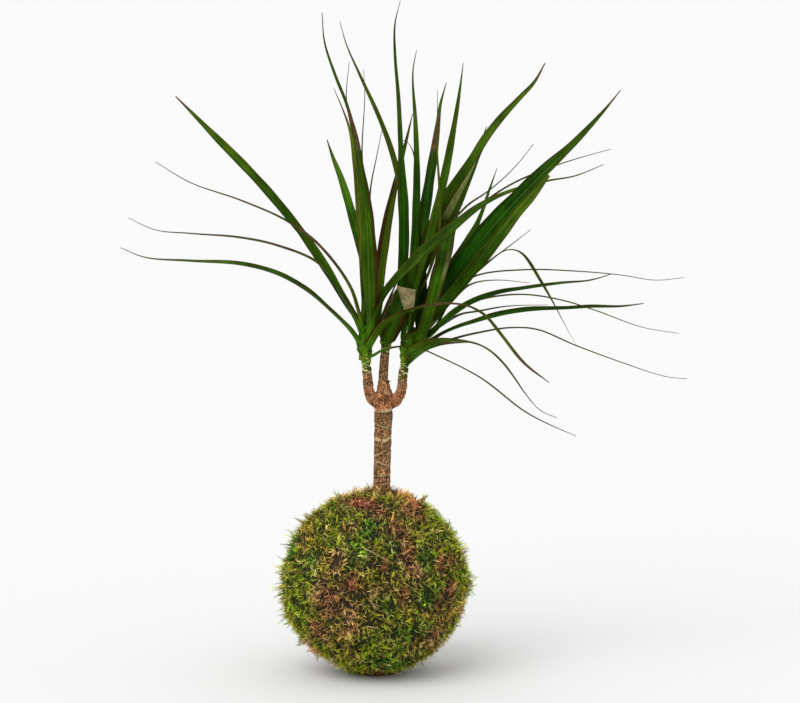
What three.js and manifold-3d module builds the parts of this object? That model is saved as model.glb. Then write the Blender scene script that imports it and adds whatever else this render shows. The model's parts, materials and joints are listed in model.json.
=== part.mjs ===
// A kokedama: a ball of soil wrapped in moss and bound with thread, with a young dragon tree growing from it.
// Millimetres, +Z up. The origin is the middle of the flat spot that the ball rests on, and -Y is the front.
import * as THREE from "three";
import { mergeVertices } from "three/addons/utils/BufferGeometryUtils.js";
import Module from "manifold-3d";

const wasm = await Module();
wasm.setup();

// Driving sizes
const GAP = 0.3; // clearance between pieces that touch
const BALL_CENTRE = new THREE.Vector3(0, 0, 71);
const REST_SPOT_RADIUS = 19;
const REST_SNAP = 0.2; // moss lower than this is pressed down to the floor
const SOIL_RADIUS = 61;
const SOIL_DETAIL = 4;
const MOSS_RADIUS = 70.5; // under the tufts
const MOSS_DETAIL = 10;
const TUFT_HEIGHT = 4.5;
const CUSHION_COUNT = 60;
const CUSHION_HEIGHT = 2.6;
const CUSHION_SPREAD = [0.2, 0.42]; // angular radius, radians
const MOSS_SEED = 7;
const THREAD_RADIUS = 0.5;
const THREAD_WRAP_RADIUS = 70;
const THREAD_STEPS = 24;
// The wraps are great circles round the ball, given by the azimuth and tilt of each one's axis in degrees.
const THREAD_WRAPS = [
  { azimuth: 31, tilt: 54 },
  { azimuth: 100, tilt: 17 },
  { azimuth: 162, tilt: 27 },
];
const GROOVE_REACH = 12; // past the highest tuft
const TRUNK_RADIUS = 6.1;
const TRUNK_HOLE_CLEARANCE = 0.6;
const BARK_SIDES = 10;
const BARK_RING_HEIGHT = 0.28;
const BUD_SIDES = 6;
const BLADE_CUP = 0.32; // rise of a blade's edges over its half width
const BLADE_STEP = 22; // length of blade between sections
const BLADE_FEWEST_STEPS = 6;
const BLADE_FOOT_RISE = 1.2; // the lowest blade starts this far above the branch
const SHEATH_RUN = 5; // a blade's foot follows the shoot this far
const SHEATH_LEAN = 0.12; // and leans out by this share of the way to its first point
const WELD = 1e-4; // vertices closer than this are one
const UP = new THREE.Vector3(0, 0, 1);
const RIGHT = new THREE.Vector3(1, 0, 0);

// How a blade changes along its length, as [share of length, value] pairs.
const BLADE_THICKNESS = [
  [0, 1.1],
  [0.3, 0.6],
];
const BLADE_WIDTH = [
  [0, 0.62],
  [0.42, 1],
  [0.65, 0.78],
  [0.85, 0.36],
  [1, 0.03],
];
const ROLL_MIDDLE = 0.35; // where a blade has its first roll

// The leaves are laid out as one sees them from the front, from a little above, through a window that stands
// square to the line of sight at the middle of the plant.
const EYE_DISTANCE = 1800;
const EYE_RISE = THREE.MathUtils.degToRad(5);
const WINDOW_MIDDLE = new THREE.Vector3(19.25, 0, 249.9);
const WINDOW_UP = new THREE.Vector3(0, Math.sin(EYE_RISE), Math.cos(EYE_RISE));
const EYE = new THREE.Vector3(0, -Math.cos(EYE_RISE), Math.sin(EYE_RISE))
  .multiplyScalar(EYE_DISTANCE)
  .add(WINDOW_MIDDLE);

const COLOURS = {
  soil_core: { color: 0x3a2a1e, roughness: 0.95 },
  moss_cover: { color: 0x5f7020, roughness: 0.95 },
  binding_thread: { color: 0xb9a878, roughness: 0.7 },
  cane: { color: 0x8a6650, roughness: 0.85 },
  leaf: { color: 0x2c5412, roughness: 0.45 },
};

// The woody cane: buried foot, trunk, knob and middle branch are one run, and two branches leave the knob.
// Radii are [share of length, radius] pairs.
const CANE_RUN = {
  path: [
    [3.8, 0, 100],
    [5, 0, 143],
    [6, 0, 185],
    [6.6, 0, 204],
    [7, 0.5, 213],
    [6.4, 2, 228],
    [7.2, 4.4, 243],
    [7.8, 5.2, 249.2],
  ],
  radii: [
    [0, 5.2],
    [0.1, TRUNK_RADIUS],
    [0.55, TRUNK_RADIUS],
    [0.66, 6.8],
    [0.695, 7.1],
    [0.71, 6.6],
    [0.75, 8],
    [0.79, 7.1],
    [0.82, 5.3],
    [0.86, 4.1],
    [0.9, 3.6],
    [1, 3.5],
  ],
  steps: 28,
};
const CANE_BRANCHES = [
  {
    path: [
      [4, 0, 209],
      [-2.5, -1.6, 212.8],
      [-5.6, -2.7, 222],
      [-6.7, -3, 232],
      [-7, -3, 238.7],
    ],
    radii: [
      [0, 4.6],
      [0.25, 4.2],
      [0.45, 3.6],
      [1, 3.3],
    ],
    steps: 10,
  },
  {
    path: [
      [10, 0, 209],
      [17.6, -1, 212.6],
      [21.4, -1.8, 221],
      [21.9, -2, 231],
      [22.8, -2, 238],
    ],
    radii: [
      [0, 5],
      [0.3, 4.7],
      [0.5, 3.8],
      [1, 3.4],
    ],
    steps: 10,
  },
];
// Dry buds on the knob: where each sits, which way it points, its length and its radius.
const CANE_BUDS = [
  { at: [-1.5, -2.5, 210.5], toward: [-0.85, -0.3, -0.25], length: 5.4, radius: 2 },
  { at: [1.2, -3.5, 216], toward: [-0.6, -0.6, 0.5], length: 4, radius: 1.7 },
  { at: [9, 0.5, 226.6], toward: [1, -0.2, 0.1], length: 5, radius: 0.9 },
  { at: [17.5, -1, 211], toward: [0.7, -0.3, -0.6], length: 5.6, radius: 2.2 },
];

// Each shoot is the bundle of leaf bases on a branch tip, and a leaf's foot is a share of the shoot's height.
// A path is [across, depth, up] in the front view. A roll turns the blade about its midrib, in degrees,
// at the middle of the leaf and at its tip.
const SHOOTS = {
  left: {
    on: CANE_BRANCHES[0],
    height: 30,
    leaves: [
      {
        foot: 0.5,
        width: 9,
        roll: [-50, -40],
        path: [[-18, -5, 276], [-42, -7, 319], [-85, -10, 376], [-123, -13, 419], [-152, -16, 446]],
      },
      {
        foot: 0.45,
        width: 8,
        roll: [-6, 0],
        path: [
          [-13, -9, 281], [-20, -15, 303], [-44, -25, 333], [-69, -33, 350], [-104, -43, 366],
          [-142, -53, 380], [-169, -60, 396],
        ],
      },
      {
        foot: 0.3,
        width: 8,
        roll: [12, 8],
        path: [
          [-20, 9, 284], [-42, 24, 317], [-73, 38, 331], [-104, 50, 338], [-142, 60, 341],
          [-169, 67, 344], [-190, 73, 353],
        ],
      },
      {
        foot: 0.15,
        width: 9,
        roll: [-24, -14],
        path: [
          [-19, -9, 266], [-35, -17, 283], [-54, -25, 299], [-77, -34, 312], [-104, -44, 319],
          [-142, -58, 320], [-177, -70, 322], [-196, -76, 330],
        ],
      },
      {
        foot: 0.7,
        width: 13,
        roll: [6, 30],
        path: [
          [-6, -12, 276], [-7, -22, 313], [-8, -33, 351], [-12, -46, 390], [-24, -66, 447],
          [-38, -80, 488], [-40, -88, 511],
        ],
      },
      {
        foot: 0.8,
        width: 7,
        roll: [-60, -60],
        path: [
          [-8, 8, 290], [-11, 36, 351], [-15, 56, 393], [-19, 70, 420], [-25, 79, 437],
          [-32, 87, 453],
        ],
      },
      {
        foot: 0.5,
        width: 8,
        roll: [0, 0],
        path: [
          [-11, 7, 282], [-14, 30, 328], [-19, 48, 355], [-27, 68, 382], [-33, 82, 399],
          [-37, 95, 413],
        ],
      },
      {
        foot: 0.9,
        width: 6,
        roll: [-70, -70],
        path: [[-7, 16, 305], [-10, 48, 366], [-16, 76, 413], [-22, 97, 445], [-20, 113, 473]],
      },
      {
        foot: 0.95,
        width: 5,
        roll: [-80, -80],
        path: [[-5, 2, 297], [-8, 14, 366], [-10, 22, 405], [-8, 30, 447], [-9, 34, 467]],
      },
      {
        foot: 0.85,
        width: 5,
        roll: [70, 70],
        path: [[-5, -3, 297], [-5, -10, 343], [-3, -16, 378], [1, -20, 399], [5, -24, 420]],
      },
      {
        foot: 0.6,
        width: 9,
        roll: [60, 40],
        path: [
          [-1, 0, 276], [2, 5, 309], [7, 11, 347], [13, 17, 374], [21, 24, 401],
          [29, 31, 433],
        ],
      },
      {
        foot: 0.35,
        width: 9,
        roll: [-18, -30],
        path: [
          [2, -14, 266], [15, -22, 276], [33, -32, 283], [58, -46, 287], [73, -56, 286],
          [85, -66, 279], [96, -76, 263], [113, -90, 242], [134, -106, 226],
        ],
      },
      {
        foot: 0.05,
        width: 7,
        roll: [-8, -14],
        path: [
          [-1, -10, 247], [6, -16, 251], [19, -22, 254], [33, -30, 253], [50, -40, 246],
          [81, -60, 230], [115, -84, 204], [135, -97, 194], [153, -108, 186],
        ],
      },
      {
        foot: 0.55,
        width: 10,
        roll: [38, 20],
        path: [
          [0, -8, 272], [8, -14, 287], [18, -20, 303], [35, -26, 322], [59, -30, 343],
          [83, -30, 362], [106, -26, 374], [133, -18, 381], [154, -12, 385], [176, -6, 394],
        ],
      },
      {
        foot: 0.75,
        width: 9,
        roll: [0, 0],
        path: [[-9, 24, 285], [-11, 58, 318], [-12, 92, 348], [-12, 118, 370]],
      },
      {
        foot: 0.65,
        width: 7,
        roll: [-50, -50],
        path: [[-17, 14, 285], [-36, 44, 312], [-58, 74, 341], [-75, 98, 363]],
      },
    ],
  },
  centre: {
    on: CANE_RUN,
    height: 28,
    leaves: [
      {
        foot: 0.85,
        width: 7,
        roll: [50, 50],
        path: [
          [20, 7, 297], [23, 9, 336], [20, 8, 370], [13, 6, 401], [4, 5, 427],
          [-12, 7, 463], [-22, 9, 486], [-27, 11, 504],
        ],
      },
      {
        foot: 0.75,
        width: 8.5,
        roll: [0, 0],
        path: [
          [18, 0, 286], [22, -3, 324], [22, -6, 355], [19, -10, 390], [19, -14, 428],
          [17, -18, 459], [15, -20, 486], [16, -22, 505], [21, -24, 520],
        ],
      },
      {
        foot: 0.55,
        width: 9,
        roll: [0, 20],
        path: [
          [26, 18, 298], [38, 34, 351], [42, 46, 382], [45, 56, 405], [48, 64, 424],
          [50, 72, 440], [55, 80, 457],
        ],
      },
      {
        foot: 0.45,
        width: 7,
        roll: [-60, -60],
        path: [
          [32, 24, 292], [44, 34, 317], [50, 50, 347], [50, 62, 374], [48, 76, 405],
          [48, 88, 432], [48, 96, 451],
        ],
      },
      {
        foot: 0.3,
        width: 10,
        roll: [46, 36],
        path: [
          [23, 13, 290], [44, 18, 336], [54, 16, 362], [70, 13, 390], [89, 10, 417],
          [108, 10, 440], [123, 12, 457], [132, 14, 472],
        ],
      },
      {
        foot: 0.65,
        width: 9,
        roll: [0, 0],
        path: [[20, 26, 290], [31, 62, 330], [34, 92, 362], [34, 112, 385]],
      },
      {
        foot: 0.4,
        width: 9,
        roll: [0, 0],
        path: [[3, 22, 290], [0, 50, 320], [-5, 82, 350], [-8, 108, 375]],
      },
    ],
    // A cut leaf that has bent over: it rises, folds at its crest and hangs down in front.
    cutLeaf: {
      foot: 0.15,
      path: [
        [12, 2, 268], [16, 0, 284], [19.5, -2, 297],
        [22.5, -5, 299], [25, -8, 293], [26, -10, 282],
      ],
      widths: [
        [0, 7.8],
        [0.45, 13],
        [0.7, 14],
        [1, 7],
      ],
      steps: 14,
    },
  },
  right: {
    on: CANE_BRANCHES[1],
    height: 30,
    leaves: [
      {
        foot: 0.7,
        width: 8,
        roll: [0, 0],
        path: [
          [29, 4, 290], [32, 2, 355], [32, 2, 390], [31, 4, 428], [29, 6, 455],
          [29, 7, 467], [32, 8, 482],
        ],
      },
      {
        foot: 0.8,
        width: 4,
        roll: [0, 0],
        path: [
          [33, 6, 300], [33, 9, 345], [32, 12, 374], [30, 13, 401], [26, 14, 410],
          [21, 15, 413],
        ],
      },
      {
        foot: 0.75,
        width: 7.5,
        roll: [55, 55],
        path: [
          [36, 0, 300], [44, 2, 336], [50, 2, 366], [55, 4, 390], [59, 6, 417],
          [64, 9, 443], [68, 12, 472],
        ],
      },
      {
        foot: 0.6,
        width: 14,
        roll: [0, 0],
        path: [
          [43, 12, 278], [54, 30, 309], [62, 46, 338], [68, 60, 363], [77, 78, 393],
          [86, 96, 423],
        ],
      },
      {
        foot: 0.5,
        width: 14.5,
        roll: [66, 60],
        path: [
          [42, -10, 280], [69, -22, 320], [96, -34, 353], [127, -44, 385], [154, -52, 410],
          [177, -58, 436], [191, -62, 453],
        ],
      },
      {
        foot: 0.4,
        width: 13.5,
        roll: [60, 60],
        path: [
          [39, 0, 266], [58, 4, 292], [81, 9, 322], [105, 15, 353], [123, 21, 373],
          [135, 27, 386],
        ],
      },
      {
        foot: 0.65,
        width: 10,
        roll: [30, 30],
        path: [
          [38, 4, 276], [54, 10, 305], [73, 22, 336], [82, 34, 356], [88, 46, 374],
          [94, 58, 391],
        ],
      },
      {
        foot: 0.85,
        width: 6,
        roll: [-10, 0],
        path: [
          [41, -8, 292], [50, -12, 325], [62, -14, 353], [83, -14, 370], [100, -12, 383],
          [112, -10, 397], [122, -8, 410],
        ],
      },
      {
        foot: 0.55,
        width: 6,
        roll: [-30, -30],
        path: [
          [42, 18, 289], [65, 36, 336], [96, 58, 374], [127, 74, 390], [154, 88, 399],
          [182, 102, 407],
        ],
      },
      {
        foot: 0.45,
        width: 6,
        roll: [-40, -40],
        path: [[42, 8, 270], [62, 24, 296], [85, 44, 317], [102, 60, 330], [120, 80, 344]],
      },
      {
        foot: 0.35,
        width: 8,
        roll: [-30, -40],
        path: [
          [40, 14, 268], [62, 36, 299], [85, 58, 321], [102, 72, 330], [115, 80, 324],
          [127, 84, 303], [137, 86, 285], [145, 88, 269], [151, 90, 255],
        ],
      },
      {
        foot: 0.3,
        width: 8,
        roll: [-4, 0],
        path: [
          [41, 6, 268], [58, 15, 294], [77, 25, 308], [115, 40, 313], [154, 54, 312],
          [189, 66, 309], [216, 74, 305], [238, 80, 307],
        ],
      },
      {
        foot: 0.5,
        width: 8,
        roll: [0, 0],
        path: [[38, 16, 264], [58, 46, 287], [73, 78, 301], [92, 114, 305], [119, 152, 303]],
      },
      {
        foot: 0.25,
        width: 9,
        roll: [-20, -14],
        path: [
          [42, -12, 264], [57, -26, 280], [72, -40, 289], [103, -64, 299], [144, -90, 304],
          [166, -102, 306], [183, -112, 310],
        ],
      },
      {
        foot: 0.2,
        width: 8,
        roll: [-2, 0],
        path: [
          [42, 3, 261], [62, 10, 282], [81, 18, 290], [112, 28, 294], [142, 38, 290],
          [169, 46, 282], [205, 58, 269], [234, 66, 264],
        ],
      },
      {
        foot: 0.15,
        width: 10,
        roll: [-22, -20],
        path: [
          [39, -9, 258], [57, -20, 269], [77, -30, 276], [99, -40, 281], [121, -50, 283],
          [166, -66, 285], [189, -74, 285], [207, -80, 287],
        ],
      },
      {
        foot: 0.35,
        width: 7,
        roll: [0, 0],
        path: [[42, 12, 264], [65, 42, 278], [80, 66, 281], [103, 102, 285], [133, 142, 286]],
      },
      {
        foot: 0.4,
        width: 7,
        roll: [0, 0],
        path: [[44, 10, 266], [62, 30, 287], [96, 68, 297], [149, 118, 294]],
      },
      {
        foot: 0.1,
        width: 9,
        roll: [-4, -8],
        path: [
          [41, -14, 256], [62, -32, 262], [80, -46, 266], [104, -60, 269], [125, -72, 267],
          [154, -86, 255], [189, -102, 242], [223, -116, 231], [240, -122, 229],
        ],
      },
      {
        foot: 0.03,
        width: 9,
        roll: [-30, -20],
        path: [
          [34, -16, 251], [48, -36, 258], [65, -58, 259], [79, -74, 257], [89, -86, 252],
          [99, -96, 243], [108, -106, 231], [116, -114, 219], [127, -122, 206], [140, -130, 199],
        ],
      },
      {
        foot: 0.6,
        width: 9,
        roll: [0, 0],
        path: [[40, 24, 275], [52, 56, 300], [64, 92, 322], [72, 125, 338]],
      },
    ],
  },
};
const SHOOT_PROFILE = [
  [0, 3.9],
  [0.12, 4.4],
  [0.35, 5],
  [0.6, 4.4],
  [0.85, 2.8],
  [1, 1],
];
const SHOOT_SIDES = 8;

// A seeded stream of numbers from 0 to 1.
function randomFrom(seed) {
  let state = seed >>> 0;
  return () => {
    state = (state + 0x6d2b79f5) >>> 0;
    let t = state;
    t = Math.imul(t ^ (t >>> 15), t | 1);
    t ^= t + Math.imul(t ^ (t >>> 7), t | 61);
    return ((t ^ (t >>> 14)) >>> 0) / 4294967296;
  };
}

const point = ([x, y, z]) => new THREE.Vector3(x, y, z);

// A value read from [share, value] pairs, eased between them.
function profileAt(pairs, share) {
  const next = pairs.findIndex(([at]) => at >= share);
  if (next <= 0) return pairs[next === 0 ? 0 : pairs.length - 1][1];
  const [from, a] = pairs[next - 1];
  const [to, b] = pairs[next];
  return THREE.MathUtils.lerp(a, b, THREE.MathUtils.smoothstep(share, from, to));
}

// The point at a depth in the plant that is seen through the window at [across, up].
function seen([across, depth, up]) {
  const sight = new THREE.Vector3(across, 0, 0)
    .add(new THREE.Vector3(0, WINDOW_MIDDLE.y, WINDOW_MIDDLE.z))
    .addScaledVector(WINDOW_UP, up - WINDOW_MIDDLE.z)
    .sub(EYE);
  return sight.multiplyScalar((depth - EYE.y) / sight.y).add(EYE);
}

// A skin over a row of rings that run anticlockwise round their path. It ends in a point if tip is given.
// A quad whose index is in flipped is split the other way, so that both faces of a blade are split alike.
function loft(rings, { tip = null, fanFrom = 0, flipped = [] } = {}) {
  const count = rings[0].length;
  const positions = rings.flat().flatMap((p) => [p.x, p.y, p.z]);
  const index = [];
  for (let i = 0; i + 1 < rings.length; i++) {
    for (let j = 0; j < count; j++) {
      const a = i * count + j;
      const b = i * count + ((j + 1) % count);
      const c = a + count;
      const d = b + count;
      if (flipped.includes(j)) index.push(a, b, c, b, d, c);
      else index.push(a, b, d, a, d, c);
    }
  }
  const last = (rings.length - 1) * count;
  for (let k = 1; k + 1 < count; k++) {
    const j = (fanFrom + k) % count;
    const next = (fanFrom + k + 1) % count;
    index.push(fanFrom, next, j);
    if (!tip) index.push(last + fanFrom, last + j, last + next);
  }
  if (tip) {
    positions.push(tip.x, tip.y, tip.z);
    for (let j = 0; j < count; j++) index.push(last + j, last + ((j + 1) % count), rings.length * count);
  }
  const geometry = new THREE.BufferGeometry();
  geometry.setAttribute("position", new THREE.Float32BufferAttribute(positions, 3));
  geometry.setIndex(index);
  return geometry;
}

function toSolid(geometry) {
  const bare = geometry.clone();
  bare.deleteAttribute("normal");
  bare.deleteAttribute("uv");
  const merged = mergeVertices(bare, WELD);
  return new wasm.Manifold(
    new wasm.Mesh({
      numProp: 3,
      vertProperties: merged.attributes.position.array,
      triVerts: new Uint32Array(merged.index.array),
    }),
  );
}

function toMesh(name, solid, look = name) {
  const { vertProperties, triVerts } = solid.getMesh();
  const geometry = new THREE.BufferGeometry();
  geometry.setAttribute("position", new THREE.BufferAttribute(vertProperties, 3));
  geometry.setIndex(new THREE.BufferAttribute(triVerts, 1));
  geometry.computeVertexNormals();
  const mesh = new THREE.Mesh(geometry, new THREE.MeshStandardMaterial(COLOURS[look]));
  mesh.name = name;
  return mesh;
}

// The side direction made square to a path's direction.
function squareTo(direction, side) {
  return side.clone().addScaledVector(direction, -side.dot(direction)).normalize();
}

function roundRing(centre, direction, radius, sides) {
  const across = squareTo(direction, RIGHT);
  const lift = direction.clone().cross(across);
  return Array.from({ length: sides }, (_, j) => {
    const turn = (j / sides) * 2 * Math.PI;
    return centre
      .clone()
      .addScaledVector(across, radius * Math.cos(turn))
      .addScaledVector(lift, radius * Math.sin(turn));
  });
}

// Bark: a round run of changing radius, with a low ring where each old leaf sat.
function barkRun({ path, radii, steps }) {
  const curve = new THREE.CatmullRomCurve3(path.map(point));
  const rings = Array.from({ length: steps + 1 }, (_, i) => {
    const share = i / steps;
    const scar = i > 0 && i < steps ? BARK_RING_HEIGHT * (i % 2) : 0;
    const radius = profileAt(radii, share) + scar;
    return roundRing(curve.getPointAt(share), curve.getTangentAt(share), radius, BARK_SIDES);
  });
  return toSolid(loft(rings));
}

function bud({ at, toward, length, radius }) {
  const direction = point(toward).normalize();
  const tip = point(at).addScaledVector(direction, length);
  return toSolid(loft([roundRing(point(at), direction, radius, BUD_SIDES)], { tip }));
}

function makeCane() {
  const parts = [CANE_RUN, ...CANE_BRANCHES].map(barkRun).concat(CANE_BUDS.map(bud));
  return wasm.Manifold.union(parts);
}

// The room that the cane takes in the soil and the moss: a plain hole along its foot, closed at the bottom.
function makeCaneHole() {
  const [foot, neck, above] = CANE_RUN.path.map(point);
  const up = neck.clone().sub(foot).normalize();
  const bottom = foot.addScaledVector(up, -GAP);
  const radius = TRUNK_RADIUS + BARK_RING_HEIGHT + TRUNK_HOLE_CLEARANCE;
  return toSolid(loft([bottom, neck, above].map((p) => roundRing(p, up, radius, BARK_SIDES * 2))));
}

function ball(radius, detail) {
  const geometry = new THREE.IcosahedronGeometry(radius, detail);
  return toSolid(geometry.translate(BALL_CENTRE.x, BALL_CENTRE.y, BALL_CENTRE.z));
}

const makeSoil = () => ball(SOIL_RADIUS, SOIL_DETAIL).subtract(makeCaneHole());

// One wrap as a closed ring. Its section is a row of [outward, sideways] corners about the thread's middle.
function wrapRing({ azimuth, tilt }, section) {
  const turn = THREE.MathUtils.degToRad(azimuth);
  const rise = THREE.MathUtils.degToRad(tilt);
  const level = new THREE.Vector3(Math.cos(turn), Math.sin(turn), 0);
  const axis = level.multiplyScalar(Math.cos(rise)).addScaledVector(UP, Math.sin(rise));
  const start = new THREE.Vector3().crossVectors(axis, UP).normalize();
  const positions = [];
  const index = [];
  const count = section.length;
  for (let i = 0; i < THREAD_STEPS; i++) {
    const out = start.clone().applyAxisAngle(axis, (i / THREAD_STEPS) * 2 * Math.PI);
    for (const [outward, sideways] of section) {
      const p = BALL_CENTRE.clone()
        .addScaledVector(out, THREAD_WRAP_RADIUS + outward)
        .addScaledVector(axis, sideways);
      positions.push(p.x, p.y, p.z);
    }
    const here = i * count;
    const next = ((i + 1) % THREAD_STEPS) * count;
    for (let j = 0; j < count; j++) {
      const k = (j + 1) % count;
      index.push(here + j, next + j, here + k, here + k, next + j, next + k);
    }
  }
  const geometry = new THREE.BufferGeometry();
  geometry.setAttribute("position", new THREE.Float32BufferAttribute(positions, 3));
  geometry.setIndex(index);
  return toSolid(geometry);
}

function makeThread() {
  const r = THREAD_RADIUS;
  const section = [[-r, 0], [0, -r], [r, 0], [0, r]];
  return wasm.Manifold.union(THREAD_WRAPS.map((wrap) => wrapRing(wrap, section)));
}

// The grooves that the thread has pressed in the moss, open to the outside.
function makeThreadGrooves() {
  const half = THREAD_RADIUS + GAP;
  const section = [[-half, -half], [GROOVE_REACH, -half], [GROOVE_REACH, half], [-half, half]];
  return wasm.Manifold.union(THREAD_WRAPS.map((wrap) => wrapRing(wrap, section)));
}

// The moss: low cushions with a pointed tuft at each vertex, pressed flat where the ball rests.
function makeMoss() {
  const random = randomFrom(MOSS_SEED);
  const cushions = Array.from({ length: CUSHION_COUNT }, () => ({
    at: new THREE.Vector3().setFromSphericalCoords(1, Math.acos(1 - 2 * random()), 2 * Math.PI * random()),
    spread: THREE.MathUtils.lerp(...CUSHION_SPREAD, random()),
    height: CUSHION_HEIGHT * random(),
  }));
  const geometry = new THREE.IcosahedronGeometry(1, MOSS_DETAIL);
  geometry.deleteAttribute("normal");
  geometry.deleteAttribute("uv");
  const skin = mergeVertices(geometry, WELD);
  const places = skin.attributes.position;
  const restAngle = Math.atan(REST_SPOT_RADIUS / BALL_CENTRE.z);
  const p = new THREE.Vector3();
  for (let i = 0; i < places.count; i++) {
    p.fromBufferAttribute(places, i).normalize();
    let radius = MOSS_RADIUS + TUFT_HEIGHT * random();
    for (const { at, spread, height } of cushions) {
      const share = p.angleTo(at) / spread;
      if (share < 1) radius += height * (1 - share * share) ** 2;
    }
    if (Math.PI - p.angleTo(UP) < restAngle) radius = BALL_CENTRE.z / -p.z;
    p.multiplyScalar(radius).add(BALL_CENTRE);
    places.setXYZ(i, p.x, p.y, p.z < REST_SNAP ? 0 : p.z);
  }
  return toSolid(skin)
    .subtract(ball(SOIL_RADIUS + GAP, SOIL_DETAIL))
    .subtract(makeCaneHole())
    .subtract(makeThreadGrooves());
}

// A blade's section has its upper face first. Its end fans from the middle, and its under face is split the
// other way, so that both faces are split alike.
const BLADE_SPLIT = { fanFrom: 1, flipped: [3, 4] };

// One section of a blade: a shallow channel whose edges stand up by the cup.
function bladeRing(centre, direction, side, roll, halfWidth, thickness) {
  const across = squareTo(direction, side).applyAxisAngle(direction, THREE.MathUtils.degToRad(roll));
  const normal = direction.clone().cross(across);
  const corner = (s, up) =>
    centre
      .clone()
      .addScaledVector(across, s * halfWidth)
      .addScaledVector(normal, Math.abs(s) * halfWidth * BLADE_CUP + up * 0.5 * thickness);
  return [corner(1, 1), corner(0, 1), corner(-1, 1), corner(-1, -1), corner(0, -1), corner(1, -1)];
}

// Where a shoot stands: just clear of the end of its branch, and in line with it.
function standOn(run) {
  const curve = new THREE.CatmullRomCurve3(run.path.map(point));
  const axis = curve.getTangentAt(1);
  return { axis, base: curve.getPointAt(1).addScaledVector(axis, GAP) };
}

// The midrib: it starts on the shoot's axis, runs up inside the bundle of bases and leaves along its path.
function midrib(shoot, foot, path) {
  const { axis, base } = standOn(shoot.on);
  const start = base.addScaledVector(axis, foot * shoot.height + BLADE_FOOT_RISE);
  const stations = path.map(seen);
  const outward = stations[0].clone().sub(start);
  const leave = start.clone().addScaledVector(axis, SHEATH_RUN).addScaledVector(outward, SHEATH_LEAN);
  return new THREE.CatmullRomCurve3([start, leave, ...stations]);
}

// The level direction square to the way that a leaf heads out.
function headingSide(curve) {
  const span = curve.getPoint(1).sub(curve.getPoint(0));
  return new THREE.Vector3().crossVectors(UP, span.setZ(0)).normalize();
}

function leafSolid(shoot, { foot, width, roll, path }) {
  const curve = midrib(shoot, foot, path);
  const side = headingSide(curve);
  const steps = Math.max(BLADE_FEWEST_STEPS, Math.round(curve.getLength() / BLADE_STEP));
  const rolls = [
    [0, 0],
    [ROLL_MIDDLE, roll[0]],
    [1, roll[1]],
  ];
  const rings = Array.from({ length: steps }, (_, i) => {
    const share = i / steps;
    const halfWidth = 0.5 * width * profileAt(BLADE_WIDTH, share);
    const thickness = profileAt(BLADE_THICKNESS, share);
    const turn = profileAt(rolls, share);
    return bladeRing(curve.getPointAt(share), curve.getTangentAt(share), side, turn, halfWidth, thickness);
  });
  return toSolid(loft(rings, { tip: curve.getPointAt(1), ...BLADE_SPLIT }));
}

function cutLeafSolid(shoot, { foot, path, widths, steps }) {
  const curve = midrib(shoot, foot, path);
  const rings = Array.from({ length: steps + 1 }, (_, i) => {
    const share = i / steps;
    const halfWidth = 0.5 * profileAt(widths, share);
    const thickness = profileAt(BLADE_THICKNESS, share);
    return bladeRing(curve.getPointAt(share), curve.getTangentAt(share), RIGHT, 0, halfWidth, thickness);
  });
  return toSolid(loft(rings, BLADE_SPLIT));
}

function makeShoot(shoot) {
  const { axis, base } = standOn(shoot.on);
  const rings = SHOOT_PROFILE.map(([share, radius]) =>
    roundRing(base.clone().addScaledVector(axis, share * shoot.height), axis, radius, SHOOT_SIDES),
  );
  const parts = [toSolid(loft(rings)), ...shoot.leaves.map((leaf) => leafSolid(shoot, leaf))];
  if (shoot.cutLeaf) parts.push(cutLeafSolid(shoot, shoot.cutLeaf));
  // Blades that cross can seal a speck of air between them: only the outer skin is kept, so it is filled.
  const skins = wasm.Manifold.union(parts).decompose();
  return skins.reduce((outer, skin) => (skin.volume() > outer.volume() ? skin : outer));
}

const kokedama = new THREE.Group();
kokedama.add(toMesh("soil_core", makeSoil()));
kokedama.add(toMesh("moss_cover", makeMoss()));
kokedama.add(toMesh("binding_thread", makeThread()));
kokedama.add(toMesh("cane", makeCane()));
for (const [side, shoot] of Object.entries(SHOOTS)) {
  kokedama.add(toMesh("leaf_head_" + side, makeShoot(shoot), "leaf"));
}

export default kokedama;
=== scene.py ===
"""Fine forms and finishes of a kokedama: a moss ball from which a young dragon tree grows.

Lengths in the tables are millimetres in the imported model's own frame: +Z is up, -Y is the front, and the
origin is the middle of the flat spot that the ball rests on. Meshes are made in metres.
"""
import json
import logging
import math
from dataclasses import dataclass
from enum import Enum
from functools import reduce

import bmesh
import bpy
import numpy as np
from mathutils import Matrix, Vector, noise

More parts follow.
